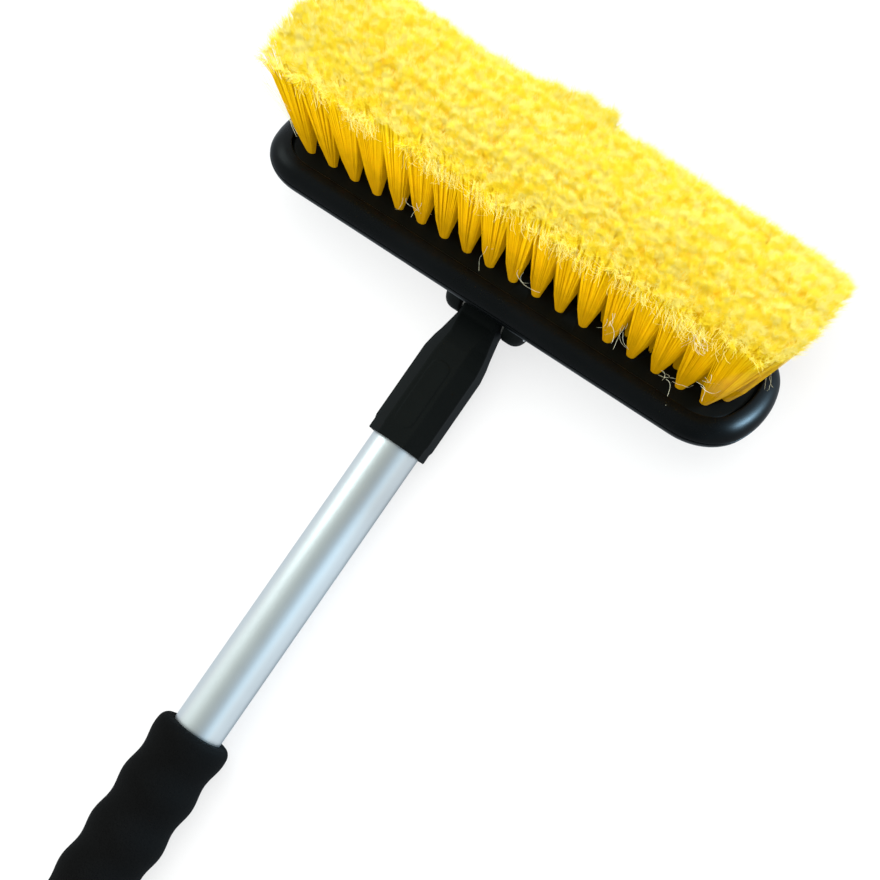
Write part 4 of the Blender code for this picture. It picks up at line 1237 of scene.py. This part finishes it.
def bend(graph, strands):
    along, own_share = graph.kept("along", "FLOAT"), graph.kept("own_share", "FLOAT")
    shares = {"fan": along ** FAN_POWER, "pull": along ** PULL_POWER, "lean": along,
              "drape": along ** DRAPE_POWER, "splay": own_share, "girth": graph.given("Fibre Radius")}
    path = graph.kept("root", "FLOAT_VECTOR")
    for name, share in shares.items():
        path = path + graph.kept(name, "FLOAT_VECTOR") * share
    bent = graph.add("GeometryNodeSetPosition", {}, {"Geometry": strands, "Position": path})
    for name in ("root", "fan", "pull", "lean", "drape", "splay", "own_share", "tuft"):
        bent = graph.add("GeometryNodeRemoveAttribute", {}, {"Geometry": bent, "Name": name})
    return bent


# %% [markdown]
# The tree itself now reads as a short list: tufts in a line, fibres in a tuft, split ends on a fibre,
# strands on those, and the finish.

# %% Bristle tree
def bristle_tree():
    graph = Growth("bristle_row", {
        "Tufts": "Int", "Pitch": "Float", "Row Offset": "Float", "Row Pitch": "Float", "Fibres": "Int",
        "Root Radius": "Float", "Root Height": "Float", "Length": "Float", "Row Half Span": "Float",
        "Side Half Span": "Float", "Field Left": "Float", "Field Right": "Float", "Field Half Width": "Float",
        "Lock Width": "Float", "Splits": "Int", "Start": "Float", "Stop": "Float", "Splay": "Float",
        "Segments": "Int", "Tip Share": "Float", "Fibre Radius": "Float", "Seed": "Int",
        "Material": "Material"})
    given, chance, vector = graph.given, graph.chance, graph.vector
    first = (given("Tufts") - 1) * given("Pitch") * -0.5
    line = graph.add("GeometryNodeMeshLine", {"mode": "OFFSET"}, {
        "Count": given("Tufts"), "Start Location": vector(first, given("Row Offset"), 0.0),
        "Offset": vector(given("Pitch"), 0.0, 0.0)})
    line = graph.keep(line, "tuft", "FLOAT", graph.add("GeometryNodeInputIndex"))
    points = shape_fibres(graph, graph.copies(line, given("Fibres")))
    points = graph.copies(points, given("Splits"))
    splay = vector(chance("splay_x"), chance("splay_y"), chance("splay_z", *SPLAY_DOWN)) * given("Splay")
    points = graph.keep(points, "splay", "FLOAT_VECTOR", splay)
    strands = {"Points": points, "Instance": straight_strand(graph)}
    strands = graph.add("GeometryNodeInstanceOnPoints", {}, strands)
    bent = bend(graph, graph.add("GeometryNodeRealizeInstances", {}, {0: strands}))
    done = graph.add("GeometryNodeSetMaterial", {}, {"Geometry": bent, "Material": given("Material")})
    graph.add("NodeGroupOutput", {}, {0: done})
    return graph.tree


def grow(name, tree, values):
    """Run a tree once on an empty mesh and keep the plain result."""
    piece = put(name, bpy.data.meshes.new(name))
    step = piece.modifiers.new("grow", "NODES")
    step.node_group = tree
    for item in tree.interface.items_tree:
        if item.in_out == "INPUT":
            step[item.identifier] = values[item.name]
    evaluated = piece.evaluated_get(bpy.context.evaluated_depsgraph_get())
    mesh = bpy.data.meshes.new_from_object(evaluated)
    piece.modifiers.clear()
    piece.data = mesh
    return piece


# %% [markdown]
# Light that enters a mass of translucent fibres comes out all over it, so a real tuft never looks as
# dark between its strands as hard plastic rods would. Each point's normal is therefore leaned from
# its own strand's side towards the way out of the mass: up, and near the edges outwards as well.

# %% Soften the normals
SOFT_AT_ROOT = 0.88
SOFT_AT_TIP = 0.84
EDGE_OUTWARDS = 1.3
OUTWARDS_POWER = 3
OUTWARDS_LOSS = 0.7
LEAST_LENGTH = 1e-6


def soften(mesh):
    count = len(mesh.vertices)
    side, along = np.empty(count * 3, np.float32), np.empty(count, np.float32)
    places = np.empty(count * 3, np.float32)
    mesh.attributes["girth"].data.foreach_get("vector", side)
    mesh.attributes["along"].data.foreach_get("value", along)
    mesh.vertices.foreach_get("co", places)
    side = unit(side.reshape(-1, 3))
    along = along[:, None]
    places = (places.reshape(-1, 3) - np.array(head_middle)) @ turn.T
    outwards = places / (FIELD_RIGHT, FIELD_HALF_WIDTH, 1.0)
    outwards[:, 2] = 0
    outwards *= EDGE_OUTWARDS * np.minimum(np.abs(outwards), 1.0) ** OUTWARDS_POWER
    outwards *= 1 - OUTWARDS_LOSS * along ** DRAPE_POWER
    way_out = unit(outwards + np.array([0, 0, 1]))
    share = SOFT_AT_ROOT + (SOFT_AT_TIP - SOFT_AT_ROOT) * along ** 2
    normals = unit(side * (1 - share) + way_out * share)
    mesh.attributes.remove(mesh.attributes["girth"])
    mesh.shade_smooth()
    mesh.normals_split_custom_set_from_vertices(normals @ turn)


def unit(rows):
    """Each row as a direction of length one."""
    return rows / np.maximum(np.linalg.norm(rows, axis=1, keepdims=True), LEAST_LENGTH)


# %% Grow the five rows
ROW_SEEDS = 100
STEM_TIP_SHARE = 0.6
KINDS = {
    "bristle_tufts": {"Splits": 1, "Start": 0.0, "Stop": SPLIT_START + SPLIT_JOIN, "Splay": 0.0,
                      "Segments": 3, "Tip Share": STEM_TIP_SHARE, "Fibre Radius": FIBRE_RADIUS},
    "bristle_ends": {"Splits": SPLITS, "Start": SPLIT_START, "Stop": 1.0, "Splay": SPLAY,
                     "Segments": 1, "Tip Share": 0.0, "Fibre Radius": SPLIT_RADIUS},
}
tree = bristle_tree()
for row in range(ROWS):
    shared = {
        "Tufts": tufts_in(row), "Pitch": TUFT_PITCH, "Row Offset": row_offset(row), "Row Pitch": ROW_PITCH,
        "Fibres": FIBRES, "Root Radius": ROOT_RADIUS, "Root Height": FACE_HEIGHT - ROOT_SINK,
        "Length": BRISTLE_LENGTH + ROOT_SINK, "Row Half Span": row_half_span(row),
        "Side Half Span": side_half_span, "Field Left": FIELD_LEFT, "Field Right": FIELD_RIGHT,
        "Field Half Width": FIELD_HALF_WIDTH, "Lock Width": LOCK_WIDTH, "Seed": ROW_SEEDS * (row + 1),
        "Material": bristle}
    for kind, values in KINDS.items():
        piece = grow(f"{kind}_{row + 1}", tree, shared | values)
        piece.data.transform(HEAD)
        soften(piece.data)
        dress(piece, "head", bristle, "yellow_bristle", f"bristle_row_{row + 1}")

# %% [markdown]
# A used brush sheds. Fine pale hairs hang between the tufts and stand off the field, mostly near the
# ends, and along the near edge split ends hang over in lemon wisps. Each is a thin three-sided wire
# whose bend drifts a little at every step, so it curls. A short table says where a handful of them
# gather and how long they are: for so few, a plain loop is clearer than a node tree.

# %% Loose hairs
HAIR_RADIUS = 0.00006
HAIR_STEPS = 18
HAIR_CURL = 0.10
HAIR_CURL_KEPT = 0.9
HAIR_CURL_ADDED = 0.6
HAIR_FAN = 0.16
HAIR_CALM_LENGTH = 0.012
HAIR_LENGTHS = (0.55, 1.1)
HAIR_CORNERS = (0.5, 2.6, 4.7)
HAIR_SEED = 7
HAIR_SCATTER = 0.0020
# place in the head's axes, spread along the head, number, length and direction of each handful
HANDFULS = [
    ((0.052, -0.0275, 0.0260), 0.0020, 4, 0.010, (0.3, -0.3, -0.5)),
    ((0.057, -0.0235, 0.0220), 0.0012, 5, 0.015, (0.0, 0.2, -1.0)),
    ((0.079, -0.0215, 0.0080), 0.0040, 5, 0.011, (1.0, 0.1, 0.1)),
    ((0.085, -0.0300, 0.0430), 0.0030, 12, 0.009, (0.7, -0.3, -0.4)),
    ((0.093, -0.0240, 0.0200), 0.0015, 4, 0.015, (0.9, 0.0, 0.1)),
    ((0.111, 0.0080, 0.0120), 0.0020, 3, 0.009, (0.3, -0.6, -0.4)),
    ((-0.046, -0.0240, 0.0180), 0.0100, 5, 0.013, (0.2, 0.1, -0.9)),
    ((0.004, -0.0240, 0.0200), 0.0120, 4, 0.014, (-0.2, 0.1, -0.9)),
    ((-0.1015, -0.0190, 0.0120), 0.0030, 26, 0.040, (-0.62, -0.10, 0.78)),
]
# place along the near edge and number of each handful of wisps
WISP_RADIUS = 0.00004
WISP_LENGTH = 0.0075
WISP_SPREAD = 0.008
WISP_WAY = (0.0, -0.45, -0.90)
WISP_PLACE = (-0.0335, 0.0500)
WISPS = [(-0.092, 40), (-0.068, 110), (-0.045, 40), (-0.030, 120), (-0.009, 90), (0.008, 40), (0.022, 90),
         (0.036, 60), (0.056, 60), (0.070, 40), (0.081, 80), (0.094, 30)]


def hair_path(chance, place, scatter, length, way):
    """Points along one hair, from a random start near the place."""
    point = np.array(place) + chance.uniform(-1, 1, 3) * (scatter, HAIR_SCATTER, HAIR_SCATTER)
    calm = min(1.0, HAIR_CALM_LENGTH / length)
    heading = np.array(way) + chance.normal(0, HAIR_FAN * calm, 3)
    length = length * chance.uniform(*HAIR_LENGTHS)
    curl = HAIR_CURL * calm
    bend = chance.normal(0, curl, 3)
    points = [point]
    for _ in range(HAIR_STEPS):
        heading = heading / np.linalg.norm(heading)
        point = point + heading * length / HAIR_STEPS
        point[2] = max(point[2], FACE_HEIGHT + 2 * HAIR_RADIUS)
        points.append(point)
        bend = bend * HAIR_CURL_KEPT + chance.normal(0, curl * HAIR_CURL_ADDED, 3)
        heading = heading + bend
    return points


def make_hairs(name, handfuls, radius):
    chance = np.random.default_rng(HAIR_SEED)
    corners = [(radius * math.cos(a), radius * math.sin(a)) for a in HAIR_CORNERS]
    points, faces = [], []
    for place, scatter, number, length, way in handfuls:
        for _ in range(number):
            faces += ring_faces(len(points), len(corners), HAIR_STEPS + 1)
            path = hair_path(chance, place, scatter, length, way)
            points += [(x + u, y + v, z + u) for x, y, z in path for u, v in corners]
    return solid(name, points, faces, HEAD)


wisps = [((x, *WISP_PLACE), WISP_SPREAD, number, WISP_LENGTH, WISP_WAY) for x, number in WISPS]
for name, handfuls, radius, finish in (("loose_hairs", HANDFULS, HAIR_RADIUS, shed_hair),
                                       ("edge_wisps", wisps, WISP_RADIUS, flagged_end)):
    hairs = make_hairs(name, handfuls, radius)
    dress(hairs, "head", finish, "yellow_bristle", "bristle_row_1")

# %% [markdown]
# ## The end cap
# The cap closes the handle's lower end and carries the eye it hangs on. Its flange is turned, its tab
# is a flat ring: the outside is half a circle on straight sides, the inside is the eye, and the skin
# runs over both rounded rims, so no edge is left sharp.

# %% End cap
CAP_FLANGE = 0.0150
CAP_FLANGE_LENGTH = 0.0060
CAP_MIDDLE = 0.00525
CAP_SPIGOT = 0.0180
CAP_BORE = 0.0080
CAP_ROUND = 0.0016
CAP_RIM_ROUND = 0.00256
OUTER_TUBE_WALL = 0.0009
TAB_WIDTH = 0.0200
TAB_HALF_DEPTH = 0.0030
TAB_ROUND = 0.0011
EYE_RADIUS = 0.0050
TAB_STEPS = 24
TAB_RIM_STEPS = 8

cap_low, cap_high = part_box("end_cap")
cap_seat = cap_high.y - CAP_SPIGOT
cap_end = cap_seat - CAP_FLANGE_LENGTH
spigot_radius = sleeve_bore - OUTER_TUBE_WALL - 2 * SEAT_GAP
eye_y = cap_low.y + TAB_WIDTH / 2


def tab_outline(inset):
    """Half a circle on straight sides that end inside the flange, as twice TAB_STEPS points."""
    half = TAB_WIDTH / 2 - inset
    arc = [math.pi + math.pi * k / TAB_STEPS for k in range(TAB_STEPS + 1)]
    points = [(half * math.cos(a), eye_y + half * math.sin(a)) for a in arc]
    top = cap_end + FUSE_DEPTH
    return points + [(half - 2 * half * k / TAB_STEPS, top) for k in range(TAB_STEPS - 1)]


def eye_outline(inset):
    radius = EYE_RADIUS + inset
    arc = [math.pi + math.pi * k / TAB_STEPS for k in range(2 * TAB_STEPS)]
    return [(radius * math.cos(a), eye_y + radius * math.sin(a)) for a in arc]


def make_tab():
    """Over the outer rim and back through the eye, each rim as half a turn of rings."""
    flat = TAB_HALF_DEPTH - TAB_ROUND
    rings = []
    for outline, way in ((tab_outline, 1), (eye_outline, -1)):
        for k in range(TAB_RIM_STEPS + 1):
            a = way * (math.pi * k / TAB_RIM_STEPS - math.pi / 2)
            z = math.copysign(flat, math.sin(a)) + TAB_ROUND * math.sin(a)
            if 2 * k == TAB_RIM_STEPS:
                z = 0.0
            rings.append([(x, y, z) for x, y in outline(TAB_ROUND * (1 - math.cos(a)))])
    return skin("tab", rings, True, Matrix.Translation((0, 0, pivot.z)))


def make_cap():
    profile = [(cap_end, CAP_MIDDLE), (cap_end, CAP_FLANGE), (cap_seat, CAP_FLANGE)]
    profile += [(cap_seat, spigot_radius), (cap_high.y, spigot_radius), (cap_high.y, CAP_BORE)]
    profile += [(cap_seat + CAP_ROUND, CAP_BORE), (cap_seat + CAP_ROUND, CAP_BORE / 2)]
    radii = [0, CAP_RIM_ROUND, CAP_ROUND / 3, 0, CAP_ROUND / 2, 0, 0, 0]
    cap = lathe("end_cap_moulded", rounded(profile, radii, closed=False), TUBE_SIDES, HANDLE)
    combine(cap, make_tab(), "UNION")
    return cap


dress(make_cap(), "handle", plastic, "black_plastic", "end_cap")

# %% [markdown]
# Five pieces stay as the CAD made them: the outer tube under the foam, its guide bush, and the
# eccentric lock inside. Nobody sees them unless the brush is taken apart, but they get real finishes.

# %% Finish the carried-over pieces
CARRIED = {"outer_tube": aluminium, "guide_bush": plastic, "lock_ring": nylon,
           "lock_plug": plastic, "lock_screw": zinc}
for name, material in CARRIED.items():
    for socket in frame["nodes"][name].material_slots:
        socket.material = material
print("carried over", sorted(CARRIED))

# %% [markdown]
# ## Studio
# The photo was taken nearly straight down on a white sweep. The tube shows what surrounded it: a
# bright side on the left, a darker zenith where the camera hung, a cool soft box on the right. The
# world is painted like that by direction, and the camera sees it as plain white.

# %% World
WHITE = shade(1.0, 1.0, 1.0)
HORIZON = shade(0.80, 0.84, 0.86)
HORIZON_EDGE = (0.05, 0.45)
SIDE_STOPS = [(0.02, shade(0.83, 0.93, 0.93)), (0.12, shade(0.83, 0.93, 0.93)),
              (0.25, shade(0.72, 0.80, 0.79)), (0.40, shade(0.50, 0.56, 0.54)),
              (0.60, shade(0.40, 0.44, 0.44)), (0.74, shade(0.38, 0.43, 0.45)),
              (0.84, shade(0.46, 0.57, 0.66)), (0.92, shade(0.74, 0.94, 1.08)),
              (1.00, shade(0.84, 1.05, 1.18))]


def bare_graph(owner):
    """The node graph of a world or a material, emptied."""
    owner.use_nodes = True
    owner.node_tree.nodes.clear()
    return Graph(owner.node_tree)


def make_world():
    world = bpy.data.worlds.new("studio")
    bpy.context.scene.world = world
    graph = bare_graph(world)
    way = graph.add("ShaderNodeTexCoord", output="Generated")
    part = graph.add("ShaderNodeSeparateXYZ", {}, {0: way})
    sides = graph.add("ShaderNodeValToRGB", {"stops": SIDE_STOPS}, {"Fac": part.also("X") * 0.5 + 0.5})
    sky = graph.mix(part.also("Z").steps(*HORIZON_EDGE), HORIZON, sides)
    eye = graph.add("ShaderNodeLightPath", output="Is Camera Ray")
    light = graph.add("ShaderNodeBackground", {}, {"Color": graph.mix(eye, sky, WHITE)})
    graph.add("ShaderNodeOutputWorld", {}, {"Surface": light})
    print("world", world.name)


make_world()

# %% [markdown]
# Four lamps do separate jobs. Two light the brush and leave no mark in its glossy parts: a wide soft
# key overhead and a fill over the grip. The other two are only seen as reflections, so they draw the
# bumper's cool highlight and the tube's left band without changing how bright anything else is.

# %% Lamps
# where each lamp hangs, how wide and strong it is, its colour, and the rays that see it
LAMPS = {
    "window_beyond_the_head": ((0.918, 1.127, 0.132), 0.20, 44.0, (0.46, 0.76, 1.0), "glossy"),
    "panel_on_the_left": ((-1.30, 0.70, 0.80), 0.70, 6.0, (0.86, 1.0, 1.0), "glossy"),
    "soft_key_overhead": ((0.10, 0.75, 1.60), 1.60, 32.5, (1.0, 0.99, 0.97), "diffuse"),
    "fill_over_the_grip": ((-0.50, -1.10, 0.90), 1.40, 21.5, (1.0, 1.0, 0.98), "diffuse"),
}

for name, (place, width, power, colour, rays) in LAMPS.items():
    lamp = bpy.data.lights.new(name, "AREA")
    lamp.size = width
    lamp.energy = power
    lamp.color = colour
    stand = put(name, lamp)
    stand.location = place
    stand.rotation_euler = (pivot - stand.location).to_track_quat("-Z", "Y").to_euler()
    stand.visible_glossy = rays == "glossy"
    stand.visible_diffuse = rays == "diffuse"
    print(name, power, "W")

# %% [markdown]
# The floor is a white sheet that keeps the brush's soft shadow. Towards the camera part of it glows
# at exactly white, so that the sheet reads as the photo's clean background without more light on
# the brush itself. In reflections its lighting is painted as two plain glowing tones: a painted
# shadow, dim in the strip that the tube covers, and a paler painted lit sheet beside it. They give
# the tube's flanks the bands that it has in the photo.

# %% Floor
FLOOR_HALF = 3.0
FLOOR_LEVEL = -0.0001
FLOOR_COLOUR = shade(0.86, 0.86, 0.86)
FLOOR_GLOW = 0.72
GLOSS_EDGE = (0.012, 0.032)
PAINTED_SHADOW_IN_GLOSS = shade(0.24, 0.28, 0.32)
PAINTED_LIT_SHEET_IN_GLOSS = shade(0.66, 0.74, 0.80)


def make_floor():
    mesh = bpy.data.meshes.new("floor")
    square = [(-1, -1), (1, -1), (1, 1), (-1, 1)]
    corners = [(x * FLOOR_HALF, y * FLOOR_HALF, FLOOR_LEVEL) for x, y in square]
    mesh.from_pydata(corners, [], [(0, 1, 2, 3)])
    material = bpy.data.materials.new("white_sheet")
    graph = bare_graph(material)
    sheet = graph.add("ShaderNodeBsdfDiffuse", {}, {"Color": FLOOR_COLOUR})
    glow = graph.add("ShaderNodeEmission", {}, {"Color": WHITE})
    rays = graph.add("ShaderNodeLightPath", output="Is Camera Ray")
    place = graph.add("ShaderNodeTexCoord", output="Object")
    # Seen only in reflections: a painted shadow in the strip under the tube, a painted lit sheet beside it.
    away = abs(graph.add("ShaderNodeSeparateXYZ", {}, {0: place})).steps(*GLOSS_EDGE)
    tone = graph.mix(away, PAINTED_SHADOW_IN_GLOSS, PAINTED_LIT_SHEET_IN_GLOSS)
    mirrored = graph.add("ShaderNodeEmission", {}, {"Color": tone})
    sheet = graph.add("ShaderNodeMixShader", {}, {0: rays.also("Is Glossy Ray"), 1: sheet, 2: mirrored})
    both = graph.add("ShaderNodeMixShader", {}, {0: rays * FLOOR_GLOW, 1: sheet, 2: glow})
    graph.add("ShaderNodeOutputMaterial", {}, {"Surface": both})
    mesh.materials.append(material)
    floor = put("floor", mesh)
    print("floor", 2 * FLOOR_HALF, "m square")


make_floor()

# %% [markdown]
# ## Camera
# The camera was solved from the photo: the head's outline, the tufts' roots and the tube's width
# give its place from the pivot, the way it looks and its focal length in pixels of the picture.

# %% Camera
CAMERA_FROM_PIVOT = Vector((0.17070, -0.09299, 0.66319))
VIEW_RIGHT = Vector((0.80669, 0.56901, -0.15977))
VIEW_BACK = Vector((0.22969, -0.05274, 0.97183))
FOCAL_PIXELS = 1661.4
PICTURE_PIXELS = 880
SENSOR = 36.0


def make_camera():
    data = bpy.data.cameras.new("camera")
    data.sensor_width = SENSOR
    data.lens = FOCAL_PIXELS / PICTURE_PIXELS * SENSOR
    camera = put("camera", data)
    back = VIEW_BACK.normalized()
    up = back.cross(VIEW_RIGHT).normalized()
    right = up.cross(back)
    camera.matrix_world = Matrix((right, up, back)).transposed().to_4x4()
    camera.location = pivot + CAMERA_FROM_PIVOT
    bpy.context.scene.camera = camera
    return camera


camera = make_camera()
print("lens", round(camera.data.lens, 2), "mm")

# %% Colours as written
bpy.context.scene.view_settings.view_transform = "Standard"
